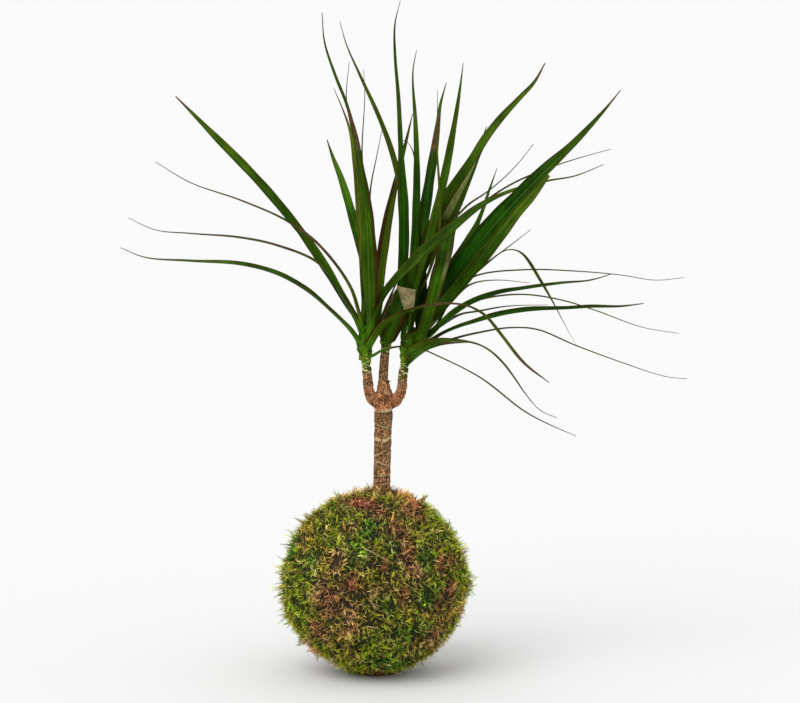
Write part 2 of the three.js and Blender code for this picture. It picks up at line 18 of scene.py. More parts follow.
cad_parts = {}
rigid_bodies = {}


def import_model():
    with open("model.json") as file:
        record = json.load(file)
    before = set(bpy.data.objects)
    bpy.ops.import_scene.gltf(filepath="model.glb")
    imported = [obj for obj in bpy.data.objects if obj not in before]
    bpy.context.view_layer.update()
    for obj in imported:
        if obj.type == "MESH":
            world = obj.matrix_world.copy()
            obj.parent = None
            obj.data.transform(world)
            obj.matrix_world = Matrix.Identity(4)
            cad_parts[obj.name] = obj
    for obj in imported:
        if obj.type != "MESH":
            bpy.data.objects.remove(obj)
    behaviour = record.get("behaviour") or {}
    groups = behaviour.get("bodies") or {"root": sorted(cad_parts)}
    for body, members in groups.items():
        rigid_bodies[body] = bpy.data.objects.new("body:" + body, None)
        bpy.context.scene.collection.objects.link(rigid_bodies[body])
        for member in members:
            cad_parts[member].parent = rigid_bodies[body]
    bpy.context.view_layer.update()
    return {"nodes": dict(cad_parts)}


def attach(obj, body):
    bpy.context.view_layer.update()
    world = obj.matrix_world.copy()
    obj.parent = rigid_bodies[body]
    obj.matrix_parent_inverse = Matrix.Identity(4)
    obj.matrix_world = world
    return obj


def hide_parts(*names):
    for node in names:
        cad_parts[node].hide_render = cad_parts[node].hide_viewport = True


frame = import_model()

log = logging.getLogger("kokedama")

MM = 0.001
BODY = "root"
PHOTO_WIDTH = 800
PHOTO_PIXEL = 0.77  # millimetres of the window that one pixel of the photograph shows
BALL_CENTRE = np.array((0.0, 0.0, 71.0))
FLOW_OFFSETS = np.linspace(-0.05, 0.05, 9)  # shares that a leaf's width is averaged over

Triple = tuple[float, float, float]
Span = tuple[float, float]
Pairs = tuple[Span, ...]
Colour = tuple[float, float, float]
Faces = list[tuple[int, ...]]
Rows = np.ndarray
Socket = bpy.types.NodeSocket
Material = bpy.types.Material
Mesh = bpy.types.Mesh
Piece = bpy.types.Object
Inputs = dict[str | int, object]
Marks = dict[str, np.ndarray | float]


def unit(vectors: Rows) -> Rows:
    """Vectors, one or rows of them, scaled to length one."""
    return vectors / np.linalg.norm(vectors, axis=-1, keepdims=True)


def smooth_step(values: Rows, low: float, high: float) -> Rows:
    """Numbers eased from 0 at low to 1 at high; low may be the larger one."""
    share = np.clip((values - low) / (high - low), 0, 1)
    return share * share * (3 - 2 * share)


def mixed(first: Rows, second: Rows, share: Rows) -> Rows:
    """Rows between two rows, by the second one's share in each."""
    return first * (1 - share[:, None]) + second * share[:, None]


def eased(pairs: Pairs, shares: Rows) -> Rows:
    """Reads (share, value) pairs, eased between them.

    Args:
        pairs: Shares in rising order, each with its value.
        shares: Where to read them.

    Returns:
        One value for each share.
    """
    keys, values = np.array(pairs, dtype=float).T
    spot = np.clip(np.searchsorted(keys, shares, side="left"), 1, len(keys) - 1)
    part = np.clip((shares - keys[spot - 1]) / (keys[spot] - keys[spot - 1]), 0, 1)
    return values[spot - 1] + (values[spot] - values[spot - 1]) * part * part * (3 - 2 * part)


def flowing(pairs: Pairs, shares: Rows) -> Rows:
    """Reads (share, value) pairs at shares, each averaged with what is near it, as one smooth flow."""
    keys, values = np.array(pairs, dtype=float).T
    return np.mean([np.interp(shares + offset, keys, values) for offset in FLOW_OFFSETS], axis=0)


def field_noise(places: Rows, size: float, seed: float, octaves: int = 3) -> Rows:
    """A smooth random field of about -1 to 1, with bumps of one size and finer layers on them."""
    shift = Vector((seed * 17.3, seed * 5.1, seed * 9.7))
    return np.array([noise.fractal(Vector(place) / size + shift, 0.6, 2.0, octaves) for place in places])


def angles(ways: Rows, way: Rows) -> Rows:
    """Angles between rows of unit vectors and one more, in radians."""
    return np.arccos(np.clip(ways @ way, -1, 1))


def spokes(across: Rows, lift: Rows, turns: Rows) -> Rows:
    """Directions at some turns about one axis or several, from across towards lift."""
    return across[..., None, :] * np.cos(turns)[:, None] + lift[..., None, :] * np.sin(turns)[:, None]


def keep_values(mesh: Mesh, label: str, column: Rows) -> None:
    """Keeps a number or a colour for each vertex on a mesh.

    Args:
        mesh: The mesh.
        label: The new attribute's name.
        column: A number for each vertex, or a row of three for a colour.
    """
    if column.ndim == 1:
        mesh.attributes.new(label, "FLOAT", "POINT").data.foreach_set("value", column)
    else:
        filled = np.hstack([column, np.ones((len(column), 1))])
        mesh.attributes.new(label, "FLOAT_COLOR", "POINT").data.foreach_set("color", filled.ravel())


@dataclass(frozen=True)
class Window:
    """The front view that the leaves are laid out in, as part of the model's own construction."""

    # The middle of the window, which is also what the camera looks at
    middle: Triple = (19.25, 0.0, 249.9)
    distance: float = 1800.0  # From the eye to the middle of the window
    rise_deg: float = 5.0  # How far above the level the eye is

    @property
    def up(self) -> Rows:
        """The window's own upward direction."""
        rise = math.radians(self.rise_deg)
        return np.array([0.0, math.sin(rise), math.cos(rise)])

    @property
    def eye(self) -> Rows:
        """Where the eye is."""
        back = np.array([0.0, -self.up[2], self.up[1]])
        return np.array(self.middle) + self.distance * back

    def sight(self, across: float, up: float) -> Rows:
        """The way from the eye to a point of the window, by its X and its height at the middle."""
        on_window = np.array([across, self.middle[1], self.middle[2]]) + (up - self.middle[2]) * self.up
        return on_window - self.eye

    def seen(self, station: Triple) -> Rows:
        """The point of the model that a leaf's across, depth and up through the window stand for."""
        sight = self.sight(station[0], station[2])
        return self.eye + sight * (station[1] - self.eye[1]) / sight[1]

    def on_ball(self, across: float, up: float, radius: float) -> Rows:
        """The near point of a sphere about the ball's centre, seen through a point of the window.

        Args:
            across: Along the model's X axis.
            up: Height in the window.
            radius: The sphere's radius.

        Returns:
            The point on the sphere, or its nearest point if the line misses it.
        """
        direction = unit(self.sight(across, up))
        towards = BALL_CENTRE - self.eye
        along = float(towards @ direction)
        miss = float(towards @ towards) - along * along
        reach = math.sqrt(max(radius * radius - miss, 0.0))
        place = self.eye + direction * (along - reach)
        return BALL_CENTRE + unit(place - BALL_CENTRE) * radius


WINDOW = Window()


class Route:
    """A smooth route through points, read at even shares of its length."""

    SPAN_SAMPLES = 24
    HEADING_REACH = 0.004

    def __init__(self, points: Rows) -> None:
        """Runs a centripetal spline through the points.

        Args:
            points: Rows of points.
        """
        points = np.array(points, dtype=float)
        ends = np.vstack([2 * points[0] - points[1], points, 2 * points[-1] - points[-2]])
        steps = np.linspace(0, 1, self.SPAN_SAMPLES, endpoint=False)[:, None]
        runs = [self._span(ends[i : i + 4], steps) for i in range(len(points) - 1)]
        self._line = np.vstack([*runs, points[-1]])
        lengths = np.linalg.norm(np.diff(self._line, axis=0), axis=1)
        self._marks = np.concatenate([[0.0], np.cumsum(lengths)])
        self.length = float(self._marks[-1])

    @staticmethod
    def _span(points: Rows, t: Rows) -> Rows:
        """One stretch of the spline.

        Args:
            points: The point before it, its start, its end and the point after it.
            t: Steps from 0 at its start to 1 at its end, in a column.

        Returns:
            Rows of points.
        """
        before, start, end, after = points
        first, middle, last = (float(np.linalg.norm(gap)) ** 0.5 for gap in np.diff(points, axis=0))
        leave = (start - before) / first - (end - before) / (first + middle) + (end - start) / middle
        arrive = (end - start) / middle - (after - start) / (middle + last) + (after - end) / last
        leave, arrive = leave * middle, arrive * middle
        cubic = 2 * start - 2 * end + leave + arrive
        square = -3 * start + 3 * end - 2 * leave - arrive
        return start + leave * t + square * t**2 + cubic * t**3

    def at(self, shares: Rows) -> Rows:
        """Points at shares of the length, as rows."""
        marks = shares * self.length
        return np.stack([np.interp(marks, self._marks, self._line[:, k]) for k in range(3)], axis=1)

    def headings(self, shares: Rows) -> Rows:
        """Directions of travel at shares of the length, as unit vectors."""
        reach = self.HEADING_REACH
        return unit(self.at(np.clip(shares + reach, 0, 1)) - self.at(np.clip(shares - reach, 0, 1)))


class MeshDraft:
    """Gathers vertices, faces and a value for each vertex, and makes one object of them."""

    def __init__(self) -> None:
        """Starts empty."""
        self._verts: list[Rows] = []
        self._faces: Faces = []
        self._values: dict[str, list[Rows]] = {}
        self._count = 0

    def add(self, verts: Rows, faces: Faces, **values: Rows) -> None:
        """Adds one closed skin.

        Args:
            verts: Rows of points, in millimetres.
            faces: Corners of each face, counted from this skin's first vertex.
            **values: For each named value, a number for each vertex.
        """
        self._verts.append(verts)
        self._faces.extend(tuple(corner + self._count for corner in face) for face in faces)
        for name, column in values.items():
            self._values.setdefault(name, []).append(column)
        self._count += len(verts)

    def mesh(self, name: str) -> Mesh:
        """The mesh of all that was added.

        Args:
            name: The mesh's name.

        Returns:
            The new mesh, in metres, with an attribute for each named value.
        """
        made = bpy.data.meshes.new(name)
        made.from_pydata((np.vstack(self._verts) * MM).tolist(), [], self._faces)
        for label, columns in self._values.items():
            keep_values(made, label, np.concatenate(columns))
        made.update()
        return made

    def build(self, name: str, material: Material, crease_deg: float = 50.0) -> Piece:
        """The object of all that was added.

        Args:
            name: The object's name.
            material: Its material.
            crease_deg: Edges that bend more than this stay sharp.

        Returns:
            The new object, in the scene.
        """
        made = self.mesh(name)
        made.materials.append(material)
        made.shade_smooth()
        made.set_sharp_from_angle(angle=math.radians(crease_deg))
        return place_object(name, made)


def place_object(name: str, data: bpy.types.ID) -> Piece:
    """Puts a mesh, a light or a camera in the scene as an object at the origin.

    Args:
        name: The object's name.
        data: What it shows.

    Returns:
        The new object.
    """
    piece = bpy.data.objects.new(name, data)
    bpy.context.scene.collection.objects.link(piece)
    return piece


def taken_mesh(holder: Piece) -> Mesh:
    """Takes the mesh that an object's modifiers make, and removes the object.

    Args:
        holder: The object.

    Returns:
        The new mesh, with all that the modifiers gave it.
    """
    depsgraph = bpy.context.evaluated_depsgraph_get()
    evaluated = holder.evaluated_get(depsgraph)
    made = bpy.data.meshes.new_from_object(evaluated, preserve_all_data_layers=True, depsgraph=depsgraph)
    bpy.data.objects.remove(holder)
    return made


def skin_faces(rings: int, around: int) -> Faces:
    """Faces of a closed skin over rings of vertices, with a flat cap at each end.

    Args:
        rings: How many rings there are.
        around: How many vertices each ring has.

    Returns:
        Faces that point outwards if the rings run anticlockwise about the way they follow.
    """
    faces: Faces = [tuple(reversed(range(around)))]
    for here in range(0, (rings - 1) * around, around):
        for j in range(around):
            k = (j + 1) % around
            faces.append((here + j, here + k, here + around + k, here + around + j))
    last = (rings - 1) * around
    faces.append(tuple(range(last, last + around)))
    return faces


def tube(route: Route, radii: Pairs, steps: int, sides: int) -> tuple[Rows, Faces]:
    """A closed round skin along a route.

    Args:
        route: What it follows.
        radii: Its radius at shares of the route's length.
        steps: How many stretches it has.
        sides: How many sides it has.

    Returns:
        Its vertices and its faces.
    """
    shares = np.linspace(0, 1, steps + 1)
    places, headings = route.at(shares), route.headings(shares)
    starts_sideways = abs(headings[0][0]) > 0.8
    reference = np.array([0.0, 0.01, 1.0] if starts_sideways else [1.0, 0.01, 0.0])
    across = unit(reference - headings * (headings @ reference)[:, None])
    ways = spokes(across, np.cross(headings, across), np.linspace(0, 2 * math.pi, sides, endpoint=False))
    verts = places[:, None, :] + ways * eased(radii, shares)[:, None, None]
    return verts.reshape(-1, 3), skin_faces(steps + 1, sides)


class NodeRecipe:
    """A node tree, and short calls that build it."""

    def __init__(self, tree: bpy.types.NodeTree) -> None:
        """Takes the tree that the calls build."""
        self.tree = tree

    def feed(self, socket: Socket, value: object) -> None:
        """Links a socket to another, or sets its constant.

        Args:
            socket: The socket to fill.
            value: A socket or a constant. A colour has three numbers.
        """
        if isinstance(value, bpy.types.NodeSocket):
            self.tree.links.new(value, socket)
        elif isinstance(value, tuple) and socket.type == "RGBA":
            socket.default_value = (*value, 1.0)
        else:
            socket.default_value = value

    def node(self, kind: str, inputs: Inputs, **settings: object) -> bpy.types.Node:
        """Adds a node.

        Args:
            kind: The node's type name.
            inputs: What goes into its sockets, by name or number.
            **settings: Its other settings.

        Returns:
            The new node.
        """
        made = self.tree.nodes.new(kind)
        for name, value in settings.items():
            setattr(made, name, value)
        for name, value in inputs.items():
            self.feed(made.inputs[name], value)
        return made

    def math(self, operation: str, *values: object) -> Socket:
        """A sum, product or other result of numbers."""
        return self.node("ShaderNodeMath", dict(enumerate(values)), operation=operation).outputs["Value"]

    def vector(self, operation: str, inputs: Inputs) -> Socket:
        """A sum, product or other result of vectors."""
        return self.node("ShaderNodeVectorMath", inputs, operation=operation).outputs[0]

    def times(self, *factors: object) -> Socket:
        """The product of numbers."""
        return reduce(lambda product, factor: self.math("MULTIPLY", product, factor), factors)


class Recipe(NodeRecipe):
    """A material and short calls that build its node tree."""

    def __init__(self, name: str) -> None:
        """Makes the material with only its output.

        Args:
            name: The material's name.
        """
        self.material = bpy.data.materials.new(name)
        self.material.use_nodes = True
        super().__init__(self.material.node_tree)
        self.tree.nodes.clear()
        self._output = self.tree.nodes.new("ShaderNodeOutputMaterial")

    def value(self, name: str) -> Socket:
        """A number kept on the mesh."""
        return self.node("ShaderNodeAttribute", {}, attribute_name=name).outputs["Fac"]

    def colour(self, name: str) -> Socket:
        """A colour kept on the mesh."""
        return self.node("ShaderNodeAttribute", {}, attribute_name=name).outputs["Color"]

    def span(self, value: object, low: float, high: float, to_low: float = 0, to_high: float = 1) -> Socket:
        """A number eased from the range low to high to the range to_low to to_high."""
        ends = {"Value": value, "From Min": low, "From Max": high, "To Min": to_low, "To Max": to_high}
        return self.node("ShaderNodeMapRange", ends, interpolation_type="SMOOTHSTEP").outputs["Result"]

    def mix(self, share: object, first: object, second: object) -> Socket:
        """A colour between two, from the first at a share of 0 to the second at 1."""
        return self.node("ShaderNodeMix", {0: share, 6: first, 7: second}, data_type="RGBA").outputs[2]

    def tinted(self, colour: object, amount: object) -> Socket:
        """A colour made brighter or darker by a factor."""
        return self.vector("SCALE", {0: colour, "Scale": amount})

    def grain(self, scale: float, detail: float = 3.0, stretch: Triple = (1.0, 1.0, 1.0)) -> Socket:
        """Noise that stays on the piece.

        Args:
            scale: Bumps to a metre.
            detail: Finer layers.
            stretch: How much closer the bumps are along each axis.

        Returns:
            The socket of a number of about 0 to 1.
        """
        place = self.node("ShaderNodeTexCoord", {}).outputs["Object"]
        sized = self.node("ShaderNodeMapping", {"Vector": place, "Scale": stretch}).outputs["Vector"]
        inputs = {"Vector": sized, "Scale": scale, "Detail": detail, "Roughness": 0.6}
        return self.node("ShaderNodeTexNoise", inputs).outputs["Fac"]

    def bump(self, height: Socket, distance: float, strength: float = 1.0) -> Socket:
        """A normal from a height of 0 to 1, of which 1 stands for a distance in metres."""
        inputs = {"Height": height, "Distance": distance, "Strength": strength}
        return self.node("ShaderNodeBump", inputs).outputs["Normal"]

    def finish(self, **shader: object) -> Material:
        """Ends the tree with the shader.

        Args:
            **shader: The shader's sockets, with underscores for spaces.

        Returns:
            The material.
        """
        inputs = {name.replace("_", " "): value for name, value in shader.items()}
        made = self.node("ShaderNodeBsdfPrincipled", inputs)
        self.feed(self._output.inputs["Surface"], made.outputs["BSDF"])
        return self.material


@dataclass(frozen=True)
class LeafFinish:
    """Satin leaf: a green blade with fine veins, a red-brown margin, dry tips and, on some blades, a pale
    painted highlight over one half.

    A field that ends in reach holds where a colour starts and is full, one in share how much of it shows,
    and one in light the darkest and the brightest factor of a pattern.
    """

    deep: Colour = (0.006, 0.042, 0.0005)
    fresh: Colour = (0.026, 0.135, 0.001)
    olive: Colour = (0.055, 0.082, 0.002)
    foot: Colour = (0.05, 0.15, 0.004)
    foot_reach: Span = (0.16, 0.03)
    tip: Colour = (0.06, 0.095, 0.003)
    tip_reach: Span = (0.5, 0.95)
    tip_share: float = 0.5
    midrib: Colour = (0.10, 0.17, 0.03)
    midrib_reach: Span = (0.09, 0.02)
    midrib_share: float = 0.2
    margin: Colour = (0.06, 0.02, 0.005)
    margin_reach: Span = (0.85, 0.35)
    margin_share: float = 0.75
    dusk: Colour = (0.05, 0.017, 0.005)
    dusk_share: float = 0.85
    # The pale painted highlight over one half of some blades, and how much of it shows
    pale: Colour = (0.42, 0.46, 0.15)
    highlight_share: Span = (0.45, 0.9)
    dry: Colour = (0.085, 0.052, 0.02)
    straw: Colour = (0.31, 0.26, 0.12)
    fleck_light: Span = (0.7, 1.3)
    mottle_light: Span = (0.62, 1.4)
    streak_light: Span = (0.62, 1.34)
    streaks_across: float = 4.5
    streaks_along: float = 2.0
    vein_count: float = 9.0
    vein_light: float = 0.16
    vein_relief: float = 0.00012
    roughness: Span = (0.45, 0.7)
    gloss: float = 0.03

    def build(self) -> Material:
        """Makes the leaf material.

        Returns:
            The material.
        """
        recipe = Recipe("leaf_blade")
        across, along, dryness = recipe.value("across"), recipe.value("along"), recipe.value("dryness")
        blade = recipe.mix(recipe.span(recipe.value("tone"), 0, 1), self.deep, self.fresh)
        blade = recipe.mix(recipe.value("olive"), blade, self.olive)
        blade = recipe.mix(recipe.span(along, *self.foot_reach), blade, self.foot)
        blade = recipe.mix(recipe.span(along, *self.tip_reach, 0, self.tip_share), blade, self.tip)
        # Veins, mottling and long streaks
        wave = recipe.math("SINE", recipe.times(across, self.vein_count * math.pi))
        ribbing = recipe.math("MULTIPLY_ADD", wave, self.vein_light, 1.0)
        mottle = recipe.span(recipe.grain(70.0, 5.0, (1, 1, 0.5)), 0.3, 0.7, *self.mottle_light)
        lengthways = {
            "X": recipe.times(across, self.streaks_across), "Y": recipe.times(along, self.streaks_along),
            "Z": recipe.value("lot"),
        }
        place = recipe.node("ShaderNodeCombineXYZ", lengthways).outputs[0]
        streak = recipe.node("ShaderNodeTexNoise", {"Vector": place, "Scale": 1.0, "Detail": 3.0})
        streaked = recipe.span(streak.outputs["Fac"], 0.32, 0.68, *self.streak_light)
        blade = recipe.tinted(blade, recipe.times(ribbing, mottle, streaked))
        # The red-brown band, which is on the right where its value is above 0
        dusk = recipe.value("dusk")
        turned = recipe.times(across, recipe.math("SIGN", dusk))
        band_edge = recipe.math("SUBTRACT", recipe.math("ABSOLUTE", dusk), 1.0)
        inside = recipe.math("SUBTRACT", turned, band_edge)
        blade = recipe.mix(recipe.span(inside, 0.1, -0.1, 0, self.dusk_share), blade, self.dusk)
        # Painted highlight: the pale half, which is on the right where its value is above 0
        pale = recipe.value("pale")
        turned = recipe.times(across, recipe.math("SIGN", pale))
        half = recipe.times(recipe.span(turned, 0.0, -0.2), recipe.span(turned, -0.95, -0.8))
        highlight_patches = recipe.span(mottle, 0.8, 1.2, *self.highlight_share)
        blade = recipe.mix(recipe.times(recipe.math("ABSOLUTE", pale), half, highlight_patches), blade, self.pale)
        # Midrib, margin and dry stretches
        middle = recipe.span(recipe.math("ABSOLUTE", across), *self.midrib_reach, 0, self.midrib_share)
        blade = recipe.mix(middle, blade, self.midrib)
        edge = recipe.math("ADD", recipe.value("margin"), recipe.span(along, 0.0, 0.2, 0.5, 0.0))
        blade = recipe.mix(recipe.span(edge, *self.margin_reach, 0, self.margin_share), blade, self.margin)
        fleck = recipe.span(recipe.grain(240.0, 2.0), 0.35, 0.65, *self.fleck_light)
        blade = recipe.mix(recipe.span(dryness, 0.05, 0.95), blade, recipe.tinted(self.dry, fleck))
        blade = recipe.mix(recipe.value("straw"), blade, recipe.tinted(self.straw, fleck))
        return recipe.finish(
            Base_Color=blade,
            Roughness=recipe.span(dryness, 0, 1, *self.roughness),
            Specular_IOR_Level=self.gloss,
            Normal=recipe.bump(recipe.math("MULTIPLY_ADD", wave, 0.5, 0.5), self.vein_relief, 0.6),
        )


@dataclass(frozen=True)
class SheathFinish:
    """Bundled leaf bases: bright green with pale edges where one base laps over the next, and painted shade
    in the step just above each edge.
    """

    green: Colour = (0.095, 0.185, 0.002)
    deep: Colour = (0.03, 0.085, 0.001)
    edge: Colour = (0.50, 0.50, 0.16)
    fibre_light: Span = (0.3, 1.5)
    # How bright the painted shade above each lapping edge leaves the green, from none to full
    crease_shade_factor: Span = (1.15, 0.25)

    def build(self) -> Material:
        """Makes the sheath material.

        Returns:
            The material.
        """
        recipe = Recipe("leaf_sheath")
        body = recipe.mix(recipe.span(recipe.value("height"), 0.1, 0.6), self.green, self.deep)
        fibres = recipe.span(recipe.grain(260.0, 3.0, (1, 1, 0.25)), 0.35, 0.65, *self.fibre_light)
        body = recipe.tinted(body, fibres)
        # Painted shade in the step just above each lapping edge
        body = recipe.tinted(body, recipe.span(recipe.value("crease_shade"), 0, 1, *self.crease_shade_factor))
        body = recipe.mix(recipe.value("edge"), body, self.edge)
        return recipe.finish(Base_Color=body, Roughness=0.6, Specular_IOR_Level=0.04)


@dataclass(frozen=True)
class BarkFinish:
    """Flecked grey-brown bark, redder on the knob, green near the shoots, with pale scars and painted shade
    in the grooves under them.
    """

    brown: Colour = (0.16, 0.07, 0.024)
    dark: Colour = (0.018, 0.009, 0.004)
    pale: Colour = (0.45, 0.255, 0.12)
    knob: Colour = (0.05, 0.011, 0.006)
    ember: Colour = (0.54, 0.215, 0.09)
    green: Colour = (0.065, 0.075, 0.004)
    scar: Colour = (0.66, 0.49, 0.27)
    fresh_scar: Colour = (0.82, 0.74, 0.34)
    cloud_light: Span = (0.62, 1.3)
    # How far the painted shade in a groove darkens the bark
    groove_shade_factor: Span = (1.0, 0.5)
    knob_share: float = 0.75
    relief: float = 0.0008

    def build(self) -> Material:
        """Makes the bark material.

        Returns:
            The material.
        """
        recipe = Recipe("cane_bark")
        coarse, fine = recipe.grain(640.0, 5.0, (1, 1, 0.6)), recipe.grain(980.0, 4.0, (1, 1, 0.8))
        cloud = recipe.span(recipe.grain(110.0, 3.0), 0.35, 0.65, *self.cloud_light)
        bark = recipe.mix(recipe.span(coarse, 0.4, 0.55), self.dark, self.brown)
        bark = recipe.mix(recipe.span(fine, 0.46, 0.63), bark, self.pale)
        red = recipe.mix(recipe.span(fine, 0.39, 0.59), self.knob, self.ember)
        bark = recipe.mix(recipe.times(recipe.value("knobby"), self.knob_share), bark, red)
        greening = recipe.value("greening")
        bark = recipe.mix(recipe.times(greening, recipe.span(coarse, 0.3, 0.6, 0.5, 1)), bark, self.green)
        # Painted shade in the grooves under the rings and scars
        painted_groove_shade = recipe.span(recipe.value("groove"), 0.1, 0.8, *self.groove_shade_factor)
        bark = recipe.tinted(bark, recipe.times(cloud, painted_groove_shade))
        cream = recipe.mix(greening, self.scar, self.fresh_scar)
        worn = recipe.times(recipe.value("scar"), recipe.span(fine, 0.35, 0.6, 0.65, 1))
        bark = recipe.mix(worn, bark, cream)
        height = recipe.math("ADD", recipe.times(coarse, 0.6), recipe.times(fine, 0.4))
        normal = recipe.bump(height, self.relief)
        return recipe.finish(Base_Color=bark, Roughness=0.8, Specular_IOR_Level=0.06, Normal=normal)


@dataclass(frozen=True)
class MossFinish:
    """Moss: each strand has the colour of its patch, darkened towards its foot with painted shade from deep
    in the moss, and lighter at its tip.
    """

    # Painted shade: how dark a strand's foot is left, deep in the moss
    foot_shade: float = 0.02
    tip_light: float = 3.8
    straw: Colour = (0.42, 0.33, 0.13)
    straw_share: float = 0.7
    russet: Colour = (0.16, 0.07, 0.03)
    russet_share: float = 0.75

    def build(self) -> Material:
        """Makes the moss material.

        Returns:
            The material.
        """
        recipe = Recipe("moss_shoots")
        tone, patch = recipe.value("tone"), recipe.colour("moss_colour")
        strand = recipe.mix(recipe.span(tone, 0.8, 0.9, 0, self.straw_share), patch, self.straw)
        strand = recipe.mix(recipe.span(tone, 0.16, 0.1, 0, self.russet_share), strand, self.russet)
        # Painted shade towards each strand's foot, lighter towards its tip
        light = recipe.span(recipe.value("along"), 0, 1, self.foot_shade, self.tip_light)
        lot = recipe.math("FRACT", recipe.times(tone, 7.3))
        vary = recipe.math("MULTIPLY_ADD", recipe.times(lot, lot), 1.5, 0.35)
        strand = recipe.tinted(strand, recipe.times(light, vary))
        return recipe.finish(Base_Color=strand, Roughness=0.7, Specular_IOR_Level=0.04)


@dataclass(frozen=True)
class FeltFinish:
    """The felt of stems that the moss strands stand out of, darkened with painted shade for the gaps between
    the strands.
    """

    # Painted shade: the factor that darkens the felt's colour
    shade: float = 0.09
    grain_light: Span = (0.3, 1.5)
    relief: float = 0.0015

    def build(self) -> Material:
        """Makes the felt's material.

        Returns:
            The material.
        """
        recipe = Recipe("moss_mat")
        fine = recipe.grain(700.0, 4.0)
        colour = recipe.tinted(recipe.colour("moss_colour"), recipe.span(fine, 0.3, 0.7, *self.grain_light))
        normal = recipe.bump(fine, self.relief)
        return recipe.finish(Base_Color=recipe.tinted(colour, self.shade), Roughness=0.95, Normal=normal)


@dataclass(frozen=True)
class PlainFinish:
    """A matt finish of two colours in a fine grain."""

    name: str
    first: Colour
    second: Colour
    scale: float  # Grains to a metre
    relief: float  # Depth of the grain, in metres
    roughness: float = 0.85

    def build(self) -> Material:
        """Makes the material.

        Returns:
            The material.
        """
        recipe = Recipe(self.name)
        grain = recipe.grain(self.scale, 4.0)
        colour = recipe.mix(recipe.span(grain, 0.35, 0.65), self.first, self.second)
        normal = recipe.bump(grain, self.relief)
        return recipe.finish(Base_Color=colour, Roughness=self.roughness, Normal=normal)


class Tone(Enum):
    """How fresh and how olive a leaf's green is."""

    DEEP = (0.0, 0.0)
    GREEN = (0.25, 0.1)
    FRESH = (0.4, 0.35)
    BRIGHT = (0.5, 0.15)
    WARM = (0.3, 0.35)
    SHADED = (0.05, 0.35)
    OLIVE = (0.2, 0.65)
    DULL = (0.0, 0.9)


# How the width of a leaf changes along it, as (share of length, share of the greatest width).
EVEN: Pairs = ((0, 0.62), (0.3, 0.94), (0.45, 1), (0.65, 0.74), (0.85, 0.33), (1, 0.03))
SLIM: Pairs = ((0, 0.62), (0.3, 1), (0.5, 0.85), (0.65, 0.6), (0.75, 0.36), (0.9, 0.26), (1, 0.03))
LATE: Pairs = (
    (0, 0.3), (0.2, 0.12), (0.58, 0.1), (0.63, 0.5), (0.68, 0.66), (0.76, 0.56), (0.82, 0.24), (0.9, 0.1),
    (1, 0.03),
)
EARLY: Pairs = ((0, 0.7), (0.2, 1), (0.4, 0.72), (0.6, 0.5), (0.85, 0.3), (1, 0.03))
FOLDED: Pairs = (
    (0, 0.5), (0.1, 0.66), (0.27, 0.96), (0.33, 0.84), (0.39, 0.73), (0.45, 0.62), (0.515, 0.48),
    (0.55, 0.38), (0.58, 0.25), (0.66, 0.19), (0.82, 0.16), (1, 0.03),
)
NARROWING: Pairs = ((0, 0.5), (0.3, 0.82), (0.55, 0.86), (0.75, 0.6), (0.9, 0.34), (1, 0.04))
PINCHED: Pairs = (
    (0, 0.62), (0.25, 0.95), (0.4, 0.98), (0.48, 0.7), (0.56, 0.46), (0.7, 0.36), (0.85, 0.24), (1, 0.03),
)
HANGING: Pairs = (
    (0, 0.84), (0.12, 0.88), (0.22, 0.74), (0.3, 0.5), (0.42, 0.3), (0.56, 0.26), (0.6, 0.34), (0.65, 0.64),
    (0.76, 0.54), (0.88, 0.3), (1, 0.04),
)
LATE_THIN: Pairs = ((0, 0.8), (0.15, 0.5), (0.3, 0.28), (0.5, 0.34), (0.65, 0.68), (0.85, 0.68), (1, 0.05))
LONG: Pairs = ((0, 0.5), (0.15, 0.7), (0.28, 1), (0.6, 0.9), (0.78, 0.7), (0.9, 0.36), (1, 0.03))


@dataclass(frozen=True)
class LeafPlan:
    """One leaf as it is seen through the window."""

    foot: float  # Where it starts, as a share of the shoot's height
    width: float  # Its greatest width
    roll: Span  # How far the blade is turned about its midrib at its middle and at its tip, in degrees
    tone: Tone
    path: tuple[Triple, ...]  # Across, depth and up of the points that its midrib passes
    # Stretches that have turned brown, each from one share of its length to another
    dry: Pairs = ((0.95, 1.1),)
    widths: Pairs = EVEN  # Shares of the greatest width along its length
    # A pale painted highlight lies over one half of the blade along this stretch
    pale: Span = (2, 2)  # The stretch where one half is pale, from one share of its length to another
    # 1 where that is the right half, -1 where it is the left half; nearer 0, it is less pale
    highlight_side: float = 1.0
    # How far a red-brown band reaches in from the right edge, in halves; below 0, from the left edge
    dusk: float = 0.0


@dataclass(frozen=True)
class CanePlan:
    """One run of the cane."""

    path: tuple[Triple, ...]  # The points that it passes
    radii: Pairs  # Its radius at shares of its length
    ring_gap: float  # The distance between its leaf scars
    zigzag: float  # How far a leaf scar rises on its way round
    green_from: Span  # Heights where its green starts and is full

    def route(self) -> Route:
        """The route through its points."""
        return Route(np.array(self.path, dtype=float))


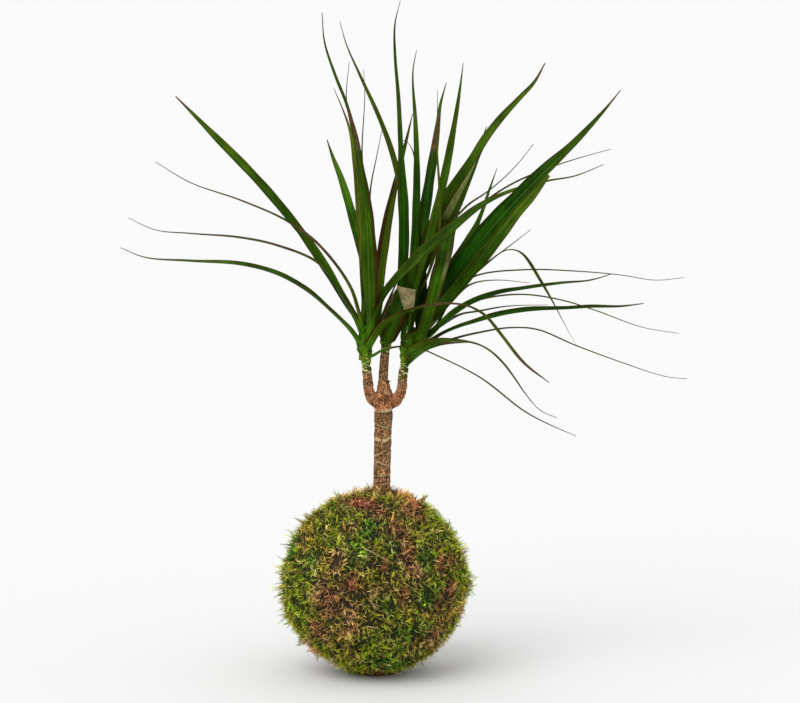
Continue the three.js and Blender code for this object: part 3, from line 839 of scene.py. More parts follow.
TRUNK = CanePlan(
    path=(
        (3.8, 0, 100), (5, 0, 143), (6, 0, 185), (6.6, 0, 204),
        (7, 0.5, 213), (6.4, 2, 228), (7.2, 4.4, 243), (7.8, 5.2, 249.2),
    ),
    radii=(
        (0, 5.2), (0.1, 6.5), (0.4, 6.6), (0.6, 6.8), (0.66, 7.1), (0.695, 7.3), (0.71, 6.6),
        (0.75, 8), (0.785, 6.7), (0.81, 5.3), (0.836, 4.6), (0.866, 3.6), (1, 3.5),
    ),
    ring_gap=5.4,
    zigzag=1.2,
    green_from=(246, 251),
)
LEFT_BRANCH = CanePlan(
    path=((4, 0, 209), (-2, -1.6, 213.2), (-4.8, -2.7, 222), (-6, -3, 232), (-6.6, -3, 238.7)),
    radii=((0, 4.6), (0.25, 4.4), (0.45, 4), (1, 3.7)),
    ring_gap=3.1,
    zigzag=1.5,
    green_from=(233, 237),
)
RIGHT_BRANCH = CanePlan(
    path=((10, 0, 209), (16.8, -1, 213.2), (20.6, -1.8, 221), (21.3, -2, 231), (22.5, -2, 238)),
    radii=((0, 5), (0.3, 4.3), (0.5, 3.9), (1, 3.6)),
    ring_gap=3.1,
    zigzag=1.5,
    green_from=(227, 231),
)

LEFT_LEAVES = (
    LeafPlan(0.5, 10.8, (-50, -40), Tone.FRESH, (
        (-16, -5, 275.5), (-41, -7, 319), (-85.4, -10, 375), (-123.8, -13, 415.2), (-153.6, -16, 446.4)),
        widths=((0, 0.5), (0.2, 0.62), (0.42, 0.76), (0.5, 0.8), (0.6, 0.87), (0.7, 0.87), (0.8, 0.8),
        (0.92, 0.42), (1, 0.05))),
    LeafPlan(0.45, 5.8, (-6, 0), Tone.DULL, (
        (-13, -9, 280), (-20, -15, 301), (-44, -25, 332.5), (-69, -33, 351), (-104, -43, 366.6),
        (-142, -53, 380), (-169, -60, 396)), dry=((0.3, 0.5), (0.6, 0.75), (0.93, 1.1))),
    LeafPlan(0.3, 6.4, (12, 8), Tone.DULL, (
        (-20, 9, 283.5), (-42, 24, 316.4), (-73, 38, 330.7), (-104, 50, 337.6), (-142, 60, 340.8),
        (-169, 67, 343.6), (-190, 73, 353)), dry=((0.4, 0.52), (0.66, 0.8), (0.93, 1.1))),
    LeafPlan(0.08, 9, (-24, -14), Tone.WARM, (
        (-18.4, -9, 265), (-34.6, -17, 281.8), (-53.6, -25, 297.4), (-77, -34, 309.9), (-104, -44, 316.8),
        (-142, -58, 319.4), (-177, -70, 322.4), (-196, -76, 330))),
    LeafPlan(0.3, 14, (6, 30), Tone.WARM, (
        (-4.2, -12, 264), (-3.8, -14, 277), (-4.6, -22, 313), (-6.2, -33, 351), (-10.8, -46, 390),
        (-14, -53, 413), (-18.2, -59, 428), (-22.4, -65, 442), (-30.4, -72, 462), (-38.8, -80, 488),
        (-40.8, -88, 511)), widths=FOLDED, dusk=-0.3, dry=((0.6, 0.72), (0.93, 1.1))),
    LeafPlan(0.8, 7, (-60, -60), Tone.DULL, (
        (-8, 8, 290), (-11, 36, 351), (-15, 56, 393), (-19, 70, 420), (-25, 79, 437), (-32, 87, 453)),
        dry=((0.85, 1.1),)),
    LeafPlan(0.5, 10, (0, 0), Tone.BRIGHT, (
        (-2, 7, 282), (-4.6, 18, 303), (-11.6, 34, 332), (-18, 48, 355), (-26, 68, 382), (-32.4, 82, 399),
        (-37, 95, 413)), widths=NARROWING),
    LeafPlan(0.9, 4.6, (-70, -70), Tone.DEEP, (
        (-7, 16, 305), (-10, 48, 366), (-16, 76, 413), (-22, 97, 445), (-20, 113, 473))),
    LeafPlan(0.95, 3.4, (-80, -80), Tone.DEEP, (
        (-5, 2, 297), (-8, 14, 366), (-10, 22, 405), (-8, 30, 447), (-9, 34, 467))),
    LeafPlan(0.85, 4, (70, 70), Tone.DULL, (
        (-5, -3, 297), (-5, -10, 343), (-3, -16, 378), (1, -20, 399), (5, -24, 420))),
    LeafPlan(0.6, 9.4, (60, 40), Tone.OLIVE, (
        (0, 0, 276), (3.2, 5, 309), (8.8, 11, 347), (14.6, 17, 374), (21.4, 24, 401), (29, 31, 433)),
        dry=((0.7, 0.78),), widths=SLIM, dusk=-0.8),
    LeafPlan(0.1, 10.5, (-16, -70), Tone.OLIVE, (
        (-1.6, -11, 256), (5.6, -16, 267.6), (15, -22, 275.8), (24, -28, 280), (40.6, -38, 285.2),
        (57, -46, 286.8), (70.6, -56, 285.2), (78.6, -62, 281.6), (85.4, -67, 276.6), (97, -76, 262.2),
        (114, -90, 241.4), (134, -106, 226)), dry=((0.36, 0.55), (0.82, 1.1)), widths=HANGING, dusk=-0.6),
    LeafPlan(0.05, 3.7, (-8, -14), Tone.OLIVE, (
        (-1, -10, 247), (6, -16, 251), (19, -22, 254), (33, -30, 253), (50, -40, 246), (81, -60, 230),
        (115, -84, 204), (135, -97, 193.4), (155, -108, 185)), widths=LATE_THIN),
    LeafPlan(0.55, 14, (38, 20), Tone.SHADED, (
        (-1.6, -8, 270), (2.6, -11, 281), (7, -14, 291.2), (17, -20, 304.2), (34.6, -26, 322),
        (59, -30, 343), (83, -30, 362.4), (106, -26, 373.6), (133, -18, 381), (154, -12, 385),
        (176, -6, 394)),
        widths=((0, 0.62), (0.3, 0.9), (0.42, 1), (0.52, 0.8), (0.62, 0.42), (0.8, 0.26), (1, 0.03))),
    LeafPlan(0.75, 8, (0, 0), Tone.GREEN, (
        (-5, 24, 285), (-4.5, 58, 318), (-5, 92, 348), (-6, 118, 370))),
    LeafPlan(0.3, 6, (-16, -50), Tone.DULL, (
        (-2, -6, 257), (2, -7, 266), (5, -6, 273), (7, -4, 281), (10.6, -2, 289.6), (15, 2, 299),
        (20, 10, 310))),
    LeafPlan(0.3, 5, (0, 0), Tone.OLIVE, (
        (-2, 2, 257), (1, 6, 266), (2.6, 12, 275), (4, 20, 284), (6, 30, 292), (9, 42, 303))),
    LeafPlan(0.65, 6, (-50, -50), Tone.DEEP, (
        (-15, 14, 276), (-35, 44, 309), (-58, 74, 341), (-74, 98, 362))),
)
CENTRE_LEAVES = (
    LeafPlan(0.85, 7, (50, 50), Tone.OLIVE, (
        (20, 7, 297), (23, 9, 336), (20, 8, 370), (13, 6, 401), (4, 5, 427), (-12, 7, 463), (-22, 9, 486),
        (-27, 11, 504))),
    LeafPlan(0.75, 9, (0, 0), Tone.GREEN, (
        (18, 0, 286), (22.4, -3, 324), (22.6, -6, 355), (20.8, -10, 388), (19.8, -14, 412),
        (18.2, -17, 445), (15.4, -20, 480), (15.4, -22, 502), (19.5, -24, 520)), widths=PINCHED),
    LeafPlan(0.55, 11, (0, 20), Tone.GREEN, (
        (26, 18, 298), (38, 34, 351), (42.6, 46, 382), (46, 56, 405), (48.4, 64, 424), (50.4, 72, 440),
        (55, 80, 457)), dry=((0.72, 0.86), (0.95, 1.1))),
    LeafPlan(0.45, 3.4, (-60, -60), Tone.DULL, (
        (32, 10, 292), (44, -2, 317), (50, -6, 347), (49.9, -6, 374), (48, 2, 405), (48, 10, 432),
        (48, 16, 451))),
    LeafPlan(0.5, 8.4, (62, 50), Tone.WARM, (
        (23, 10, 285), (29.6, 12, 304), (36.8, 14, 325.7), (45.4, 14, 349.3), (56.8, 12, 370.6),
        (66.2, 11, 384), (76.8, 10, 400), (86.2, 10, 415), (97.8, 10, 430), (112, 11, 445.4),
        (123, 12, 457.4), (131, 14, 472)),
        widths=((0, 0.6), (0.3, 0.9), (0.42, 1), (0.5, 1), (0.66, 0.92), (0.8, 0.74), (0.92, 0.44),
        (1, 0.04)), dusk=0.2),
    LeafPlan(0.45, 13.4, (60, 40), Tone.FRESH, (
        (24, 14, 280), (31, 17, 297.2), (39, 19, 318), (48, 20, 335), (55, 20, 347.4), (61.8, 18, 360.8),
        (67.8, 17, 373), (74, 15, 386.4), (79.6, 14, 399), (83.6, 13, 407)),
        widths=((0, 0.45), (0.3, 0.5), (0.5, 0.86), (0.6, 1), (0.68, 1), (0.8, 0.74), (0.9, 0.44),
        (1, 0.05)), pale=(0.66, 1.1), highlight_side=-1, dry=()),
    LeafPlan(0.3, 5.4, (0, 0), Tone.DULL, (
        (14.6, 5, 260), (20, 9, 268), (26, 16, 277.6), (31, 50, 316), (34, 84, 350), (34, 104, 372))),
    LeafPlan(0.4, 9, (0, 0), Tone.OLIVE, (
        (9, 30, 275), (14, 60, 289), (20, 95, 303)), dry=((0, 0.7), (0.95, 1.1))),
)
RIGHT_LEAVES = (
    LeafPlan(0.3, 8, (0, 0), Tone.GREEN, (
        (22.8, 1, 258), (24.4, 2, 272), (26.8, 3, 288), (30, 3, 315), (32.4, 2, 355), (32.8, 2, 390),
        (31.4, 4, 428), (29.4, 6, 455), (29.4, 7, 467), (32, 8, 482))),
    LeafPlan(0.8, 5.4, (0, 0), Tone.DEEP, (
        (33, 6, 300), (33, 9, 345), (32, 12, 374), (30, 13, 401), (26, 14, 410), (21, 15, 413))),
    LeafPlan(0.3, 8.6, (40, 55), Tone.FRESH, (
        (26.4, -4, 259), (28.2, -3, 272), (30.2, -2, 288), (33.4, -1, 304), (38.2, 0, 322),
        (41.8, 0, 333.4), (46.8, 1, 354), (50.6, 2, 369), (54.7, 4, 388), (59.6, 6, 415), (64.2, 9, 443),
        (68, 12, 472)),
        widths=((0, 0.6), (0.18, 0.6), (0.32, 0.74), (0.5, 0.9), (0.68, 0.76), (0.86, 0.36), (1, 0.03))),
    LeafPlan(0.3, 13.6, (0, 0), Tone.FRESH, (
        (34, -13, 256), (39.7, -18, 269), (45.6, -22, 289.6), (51, -24, 308.8), (54.4, -18, 321),
        (57, 0, 338), (61, 30, 358), (68, 50, 378), (76, 66, 396), (86, 84, 423)),
        dry=((0.95, 1.1),), dusk=0.4, pale=(0.35, 0.36), highlight_side=0.45),
    LeafPlan(0.35, 16.6, (66, 60), Tone.DEEP, (
        (36, -8, 264), (44.4, -12, 281), (69.2, -22, 319.6), (96.4, -34, 352.4), (127, -44, 384.8),
        (154, -52, 410.6), (176.8, -58, 435.6), (189, -62, 451)), dusk=0.16),
    LeafPlan(0.4, 15.4, (60, 60), Tone.FRESH, (
        (38, 0, 266), (56, 4, 291.4), (80, 9, 321), (104, 15, 352.6), (120, 21, 370.4), (134, 27, 385.6)),
        dry=(), widths=((0, 0.5), (0.25, 0.7), (0.45, 0.94), (0.7, 0.95), (0.9, 0.6), (1, 0.1))),
    LeafPlan(0.35, 10, (30, 30), Tone.GREEN, (
        (36, 4, 263), (41, 6, 278), (54, 10, 305), (73, 22, 336), (82, 34, 356), (88, 46, 374),
        (94, 58, 391)), widths=((0, 0.62), (0.35, 1), (0.6, 0.75), (0.72, 0.34), (0.85, 0.24), (1, 0.03))),
    LeafPlan(0.35, 8.4, (-10, 0), Tone.OLIVE, (
        (37, 14, 268), (44, 20, 300), (50, 18, 330), (55, 10, 346.6), (64.7, -4, 355.6), (73.2, -10, 363.8),
        (85.5, -12, 372.2), (100, -12, 384.4), (112, -10, 397), (122, -8, 410)),
        widths=((0, 0.6), (0.3, 0.7), (0.6, 0.66), (0.72, 0.56), (0.8, 0.26), (1, 0.05))),
    LeafPlan(0.35, 4.4, (-30, -30), Tone.DULL, (
        (36, 10, 264), (40, 14, 285), (46, 24, 316), (61, 38, 344), (83, 50, 364), (104, 62, 378),
        (127, 74, 388.6), (154, 88, 398), (182, 102, 406))),
    LeafPlan(0.45, 4, (-40, -40), Tone.DEEP, (
        (36, 6, 261), (44, 10, 273), (62, 24, 296), (85, 44, 317), (102, 60, 330), (120, 80, 344))),
    LeafPlan(0.35, 4.8, (-30, -40), Tone.OLIVE, (
        (40, 14, 266), (62, 36, 295), (85, 56, 316.6), (99, 68, 327.4), (106, 73, 328.4), (114, 79, 324.6),
        (128, 84, 303.4), (138.6, 86, 285), (147, 88, 269), (156, 90, 253)), widths=LATE),
    LeafPlan(0.3, 2.6, (-4, 0), Tone.DULL, (
        (41, 6, 268), (58, 15, 294), (77, 25, 308), (115, 40, 313), (154, 54, 312), (189, 66, 309),
        (216, 74, 305), (238, 80, 307))),
    LeafPlan(0.5, 3.2, (0, 0), Tone.DULL, (
        (38, 16, 264), (58, 46, 287), (73, 78, 301), (92, 114, 305), (119, 152, 303))),
    LeafPlan(0.25, 8.2, (-20, -14), Tone.GREEN, (
        (42, -12, 263), (53, -22, 272), (63, -32, 280.4), (74, -42, 287), (94, -58, 294.4), (120, -76, 299),
        (144, -90, 302.4), (166, -102, 304.8), (183, -112, 310)), widths=LONG),
    LeafPlan(0.2, 2.8, (-2, 0), Tone.DULL, (
        (42, 3, 261), (62, 10, 282), (81, 18, 290), (112, 28, 294), (142, 38, 290), (169, 46, 282),
        (205, 58, 269), (234, 66, 264))),
    LeafPlan(0.15, 10, (-22, -20), Tone.GREEN, (
        (38, -9, 255), (52.7, -18, 264), (63, -24, 268.4), (77, -30, 272.6), (99, -40, 278.4),
        (121, -50, 281.6), (150, -60, 283), (166, -66, 284), (189, -74, 284.4), (207, -80, 287)),
        widths=((0, 0.45), (0.2, 0.45), (0.34, 0.6), (0.44, 1), (0.6, 0.9), (0.68, 0.66), (0.8, 0.8),
        (0.9, 0.5), (1, 0.03))),
    LeafPlan(0.35, 3.4, (0, 0), Tone.DEEP, (
        (42, 12, 264), (65, 42, 278), (80, 66, 281), (103, 102, 285), (133, 142, 286))),
    LeafPlan(0.4, 2.8, (0, 0), Tone.DEEP, (
        (44, 10, 266), (60, 36, 293), (84, 70, 323), (104, 100, 346))),
    LeafPlan(0.06, 3.3, (-4, -8), Tone.DULL, (
        (39, -14, 252.5), (61, -32, 260), (80, -46, 264.6), (104, -60, 268.4), (125, -72, 267),
        (154, -86, 255), (189, -102, 242), (223, -116, 231), (240, -122, 229)), widths=EARLY),
    LeafPlan(0.0, 12, (-24, -20), Tone.OLIVE, (
        (30, -14, 248), (38, -25, 254), (48, -36, 257), (65, -58, 258), (79, -74, 255.6),
        (88.4, -86, 250.6), (98, -96, 241.6), (107, -106, 230), (115.4, -114, 218), (127, -122, 205),
        (140, -130, 199)),
        widths=((0, 0.4), (0.08, 0.8), (0.18, 0.95), (0.32, 0.56), (0.45, 0.24), (0.6, 0.3), (0.75, 0.26),
        (0.84, 0.08), (1, 0.03))),
    LeafPlan(0.0, 8, (-40, -40), Tone.FRESH, (
        (26, -9, 240.6), (31, -16, 246.6), (38.6, -25, 251.8), (49, -34, 255), (60, -42, 256.4),
        (75, -50, 257)),
        widths=((0, 0.5), (0.2, 1), (0.5, 0.7), (0.75, 0.3), (1, 0.03)), dry=((0.66, 1.1),)),
    LeafPlan(0.3, 9, (0, 0), Tone.DEEP, (
        (35.6, 6, 264), (35, 8, 275), (35.6, 14, 287), (36.8, 20, 300), (36.6, 28, 315), (37.4, 36, 330),
        (40, 46, 348))),
    LeafPlan(0.35, 6.4, (0, 0), Tone.OLIVE, (
        (36.4, 6, 266), (38.2, 8, 277), (40, 12, 288), (43.4, 18, 298), (48, 28, 309), (52, 38, 320),
        (60, 56, 344)), dusk=-0.4),
    LeafPlan(0.6, 9, (0, 0), Tone.GREEN, (
        (38, 20, 268), (50, 56, 296), (64, 92, 320), (72, 125, 338))),
)


@dataclass(frozen=True)
class BladeForm:
    """Sizes that all blades have in common, and the skin of one blade."""

    steps: int = 64  # Stretches along a blade
    upper: int = 9  # Points over a blade's upper face
    # Rise of the edges over half the width, as a shallow V
    fold: Pairs = ((0, 0.45), (0.2, 0.32), (1, 0.22))
    # Half the turn that a blade takes round its shoot, in radians
    clasp: Pairs = ((0, 1.3), (0.1, 0.9), (0.25, 0.25), (1, 0.1))
    thickness: Pairs = ((0, 1.0), (0.12, 0.7), (0.5, 0.5), (1, 0.3))  # Thickness beside the midrib
    edge_share: float = 0.45  # Thickness near the edges, as a share of that
    # How much the midrib adds, and its width in halves of the blade
    midrib: Span = (0.35, 0.12)
    wave: float = 0.035  # How far the edges wander, as a share of half the width
    wave_runs: Span = (9, 4.3)  # Lengths over which the edges' two waves turn by a radian
    # What the margin loses where the blade is narrow, and half the width that counts as narrow
    narrow: Span = (0.7, 1.6)
    roll_middle: float = 0.35  # Share of the length where a blade has its first roll
    parallel: bool = False  # True where the lines across the blade all lie the same way

    def half_widths(self, widths: Rows, length: float, seed: float) -> Rows:
        """Half the width at each station, with wandering edges.

        Args:
            widths: The plain width at each station.
            length: The blade's length.
            seed: Makes its edges wander in their own way.

        Returns:
            One number for each station, in a column.
        """
        shares = np.linspace(0, 1, self.steps + 1)
        long, short = self.wave_runs
        wander = np.sin(shares * length / long + seed) + 0.6 * np.sin(shares * length / short + 2 * seed)
        return (0.5 * widths * (1 + self.wave * wander * smooth_step(shares, 0.1, 0.3)))[:, None]

    def skin(
        self, draft: MeshDraft, route: Route, side: Rows, widths: Rows, rolls: Rows,
        seed: float, marks: Marks,
    ) -> None:
        """Adds one blade to a draft.

        Args:
            draft: Where the blade goes.
            route: Its midrib.
            side: The level direction across it.
            widths: Its width at each station.
            rolls: Its roll about the midrib at each station, in radians.
            seed: Makes its edges wander in their own way.
            marks: Values for the finish, one number or one for each station.
        """
        shares = np.linspace(0, 1, self.steps + 1)
        centres, headings = route.at(shares), route.headings(shares)
        level = np.tile(unit(side), (len(shares), 1))
        if not self.parallel:
            level = unit(side - headings * (headings @ side)[:, None])
        lift = unit(np.cross(headings, level))
        across = level * np.cos(rolls)[:, None] + lift * np.sin(rolls)[:, None]
        normal = np.cross(headings, across)
        # Places across the blade, 1 and -1 at its edges: over the upper face and back under it
        top = np.linspace(1, -1, self.upper)
        s = np.concatenate([top, -top[1:-1]])
        under = np.concatenate([np.zeros(self.upper), np.ones(self.upper - 2)])
        half = self.half_widths(widths, route.length, seed)
        clasp, fold = eased(self.clasp, shares)[:, None], eased(self.fold, shares)[:, None]
        aside = half * np.sin(clasp * s) / clasp
        rise = half * ((1 - np.cos(clasp * s)) / clasp + fold * (np.sqrt(s * s + 0.01) - 0.1))
        ridge = self.midrib[0] * np.exp(-((s / self.midrib[1]) ** 2))
        body = (self.edge_share + (1 - self.edge_share) * (1 - s * s) + ridge) * (np.abs(s) < 0.999)
        rise = rise - under * body * eased(self.thickness, shares)[:, None]
        verts = centres[:, None, :] + across[:, None, :] * aside[..., None]
        verts = verts + normal[:, None, :] * rise[..., None]
        loss = self.narrow[0] * np.exp(-((half / self.narrow[1]) ** 2))
        values = {"across": s, "along": shares[:, None], "margin": (1 - np.abs(s)) * half + loss}
        values.update({name: np.reshape(value, (-1, 1)) for name, value in marks.items()})
        shape = (len(shares), len(s))
        spread = {name: np.broadcast_to(value, shape).ravel() for name, value in values.items()}
        draft.add(verts.reshape(-1, 3), skin_faces(*shape), **spread)


@dataclass(frozen=True)
class CutLeafPlan:
    """A cut leaf that has bent over: it rises, folds at its crest and hangs down in front."""

    foot: float = 0.03  # Where it starts, as a share of the shoot's height
    # Across, depth and up of the points that its midrib passes
    path: tuple[Triple, ...] = (
        (10, -1, 256.6), (12.2, -2, 263), (15.6, -2.4, 272), (18.6, -2.8, 282), (21.2, -3.2, 291),
        (23.2, -3.8, 296.4), (24.3, -4.4, 298.9), (24.4, -5.2, 296.4), (25, -6.2, 290), (25.8, -7.2, 281.5),
    )
    # Its width along its length
    widths: Pairs = (
        (0, 6), (0.12, 9.6), (0.25, 12), (0.5, 12), (0.72, 14.6), (0.84, 12.5), (0.94, 9.4), (1, 7),
    )
    crest: Triple = (1.0, 0.0, -0.21)  # The way that its fold lies
    straw_from: float = 0.72  # The share of its length from which it is dry and pale
    # Its blade, flatter than the others
    form: BladeForm = BladeForm(
        steps=90, fold=((0, 0.3), (0.4, 0.05), (1, 0.02)),
        clasp=((0, 1.2), (0.25, 0.4), (0.5, 0.06), (1, 0.04)), wave=0.02, parallel=True,
    )


@dataclass(frozen=True)
class LeafHead:
    """A shoot on a branch tip: its bundle of leaf bases and the blades that leave it."""

    side: str
    branch: CanePlan  # The run of the cane that it stands on
    height: float  # Height of the bundle of leaf bases
    leaves: tuple[LeafPlan, ...]
    cut_leaf: CutLeafPlan | None = None
    form: BladeForm = BladeForm()  # What its blades have in common
    clearance: float = 0.3  # Between the branch and the bundle
    foot_rise: float = 1.2  # Height of the lowest leaf's foot over the branch
    sheath_run: float = 6.0  # How far a leaf's foot follows the bundle
    sheath_lean: float = 0.16  # How far it leans out there, as a share of the way to its first point
    # The bundle's radius at shares of its height
    bundle_radii: Pairs = (
        (0, 3.3), (0.12, 3.8), (0.3, 5), (0.48, 6), (0.6, 6.1), (0.75, 4.6), (0.9, 2.2), (1, 0.6),
    )
    edged_to: float = 8.0  # Height up to which the edges of the bases are pale
    sheaths: int = 8  # How many leaf bases show on the bundle
    # Height of the lowest one's edge, and the share of the height that the top one nears
    sheath_reach: Span = (0.8, 0.82)
    lap: float = 0.7  # How far one base stands out over the next
    lap_run: float = 4.5  # Height over which it grows out
    edge_rise: float = 4.4  # How far the edge of a base rises on its way round
    sides: int = 56  # Points round the bundle
    rings: int = 84  # Stretches up the bundle

    def stand(self) -> tuple[Rows, Rows]:
        """The middle of the bundle's foot, and the way that it points."""
        axis = self.branch.route().headings(np.array([1.0]))[0]
        return np.array(self.branch.path[-1]) + axis * self.clearance, axis

    def midrib(self, plan: LeafPlan | CutLeafPlan) -> Route:
        """A leaf's midrib, from inside the bundle along its path.

        Args:
            plan: The leaf.

        Returns:
            The midrib.
        """
        base, axis = self.stand()
        start = base + axis * (plan.foot * self.height + self.foot_rise)
        stations = [WINDOW.seen(station) for station in plan.path]
        run = self.sheath_run * min(1.0, 0.35 + 2 * plan.foot)
        leave = start + axis * run + (stations[0] - start) * self.sheath_lean
        return Route(np.array([start, leave, *stations]))

    def marks(self, plan: LeafPlan, number: int, shares: Rows) -> Marks:
        """What the finish is told about one leaf.

        Args:
            plan: The leaf.
            number: Its place in the head.
            shares: The stations' shares of its length.

        Returns:
            For each name, one number or one for each station.
        """
        fade = 0.03
        dryness = np.zeros_like(shares)
        for start, end in plan.dry:
            begun = smooth_step(shares, start - fade, start + fade)
            dryness = np.maximum(dryness, begun * smooth_step(shares, end + fade, end - fade))
        # Where the pale painted highlight lies along the leaf, and on which half
        start, end = plan.pale
        pale = smooth_step(shares, start - 0.06, start) * smooth_step(shares, end + 0.08, end)
        fresh, olive = plan.tone.value
        drift = 0.12 * np.sin(shares * 9 + number * 2.4)
        return {
            "tone": fresh + drift, "olive": olive + 0.5 * drift, "dryness": dryness, "straw": 0.0,
            "pale": pale * plan.highlight_side, "dusk": plan.dusk, "lot": number * 3.7 + ord(self.side[0]),
        }

    def add_cut_leaf(self, draft: MeshDraft, plan: CutLeafPlan) -> None:
        """Adds the cut leaf to the head's blades.

        Args:
            draft: The blades.
            plan: The cut leaf.
        """
        shares = np.linspace(0, 1, plan.form.steps + 1)
        straw = smooth_step(shares, plan.straw_from - 0.02, plan.straw_from + 0.02)
        marks = {"tone": 0.3, "olive": 0.3, "dryness": 0.0, "straw": straw, "pale": 0.0}
        marks.update({"dusk": -0.5, "lot": 0.0})
        widths = flowing(plan.widths, shares)
        plan.form.skin(draft, self.midrib(plan), np.array(plan.crest), widths, 0 * shares, 0.4, marks)

    def blades(self, finish: Material) -> Piece:
        """All the head's blades as one piece.

        Args:
            finish: Their material.

        Returns:
            The piece.
        """
        draft = MeshDraft()
        shares = np.linspace(0, 1, self.form.steps + 1)
        for number, plan in enumerate(self.leaves):
            route = self.midrib(plan)
            foot, tip = route.at(np.array([0.0, 1.0]))
            span = tip - foot
            side = unit(np.array([-span[1], span[0], 0.0]))
            roll_pairs = ((0, 0), (self.form.roll_middle, plan.roll[0]), (1, plan.roll[1]))
            rolls = np.radians(eased(roll_pairs, shares))
            widths = plan.width * flowing(plan.widths, shares)
            marks = self.marks(plan, number, shares)
            self.form.skin(draft, route, side, widths, rolls, number * 1.7, marks)
        if self.cut_leaf:
            self.add_cut_leaf(draft, self.cut_leaf)
        return draft.build(f"blades_{self.side}", finish)

    def bundle(self, finish: Material) -> Piece:
        """The bundle of leaf bases, each lapping over the next with a pale edge and painted shade in the step
        just above it.

        Args:
            finish: Its material.

        Returns:
            The piece.
        """
        base, axis = self.stand()
        levels = np.linspace(0, self.height, self.rings + 1)
        turns = np.linspace(0, 2 * math.pi, self.sides, endpoint=False)
        z, turn = np.meshgrid(levels, turns, indexing="ij")
        first, last = self.sheath_reach[0], self.height * self.sheath_reach[1]
        fading = smooth_step(z, self.edged_to + 5, self.edged_to) * 0.8 + 0.2
        lap_start, edge, crease_shade = (np.zeros_like(z) for _ in range(3))
        for number in range(self.sheaths):
            middle = math.pi * number + 0.5 * math.sin(number * 2.1) + 0.2
            bearing = np.abs((turn - middle + math.pi) % (2 * math.pi) - math.pi) / math.pi
            rim = first + (last - first) * number / self.sheaths + self.edge_rise * (bearing**1.2 - 0.35)
            lap_start = np.where(z > rim, np.maximum(lap_start, rim), lap_start)
            edge = np.maximum(edge, np.exp(-(((z - rim + 0.2) / 0.26) ** 2)))
            # Painted shade in the step just above each edge, fainter higher up the bundle
            crease_shade = np.maximum(crease_shade, fading * np.exp(-(((z - rim - 0.5) / 0.5) ** 2)))
        edge *= smooth_step(z, self.edged_to, self.edged_to - 2) * 0.85 + 0.15
        height = z / self.height
        grown = np.clip((z - lap_start) / self.lap_run, 0, 1)
        radius = eased(self.bundle_radii, height.ravel()).reshape(z.shape) + self.lap * (grown - 0.5)
        reference = np.array([1.0, 0.01, 0.0])
        level = unit(reference - axis * (axis @ reference))
        ways = spokes(level, np.cross(axis, level), turns)
        verts = base + axis * z[..., None] + ways * radius[..., None]
        draft = MeshDraft()
        values = {"edge": edge.ravel(), "crease_shade": crease_shade.ravel(), "height": height.ravel()}
        draft.add(verts.reshape(-1, 3), skin_faces(*z.shape), **values)
        return draft.build(f"leaf_bases_{self.side}", finish)

    def build(self, finishes: "Finishes") -> None:
        """Makes the blades and the bundle, and fixes them to the plant.

        Args:
            finishes: The materials.
        """
        dress(self.blades(finishes.leaf), "leaf", f"leaf_head_{self.side}")
        dress(self.bundle(finishes.sheath), "leaf")


@dataclass(frozen=True)
class LeafScar:
    """A pale mark where an old leaf sat on the trunk."""

    height: float  # Height of its middle
    slope: float  # Its rise for each millimetre to the right
    bend: float  # How far its sides stand over its middle
    width: float  # Half its width
    strength: float  # How pale it is


@dataclass(frozen=True)
class Bud:
    """A dry bud on the knob: where it sits, the way it points and its sizes."""

    at: Triple
    toward: Triple
    length: float
    radius: float

    def skin(self) -> tuple[Rows, Faces]:
        """Its rough form, blunt at its foot.

        Returns:
            Its vertices and its faces.
        """
        start, toward, radius = np.array(self.at), unit(np.array(self.toward)), self.radius
        route = Route(np.array([start - toward * radius, start, start + toward * self.length]))
        return tube(route, ((0, radius), (0.45, radius), (0.8, radius * 0.72), (1, radius * 0.3)), 8, 14)


@dataclass(frozen=True)
class BarkPoints:
    """The points of the cane's skin."""

    places: Rows  # Where they are
    run: Rows  # The number of the run that each is on
    along: Rows  # How far along that run it is
    bearing: Rows  # Its bearing round that run
    lump: Rows  # A field of coarse lumps
    fine: Rows  # A field of fine ones


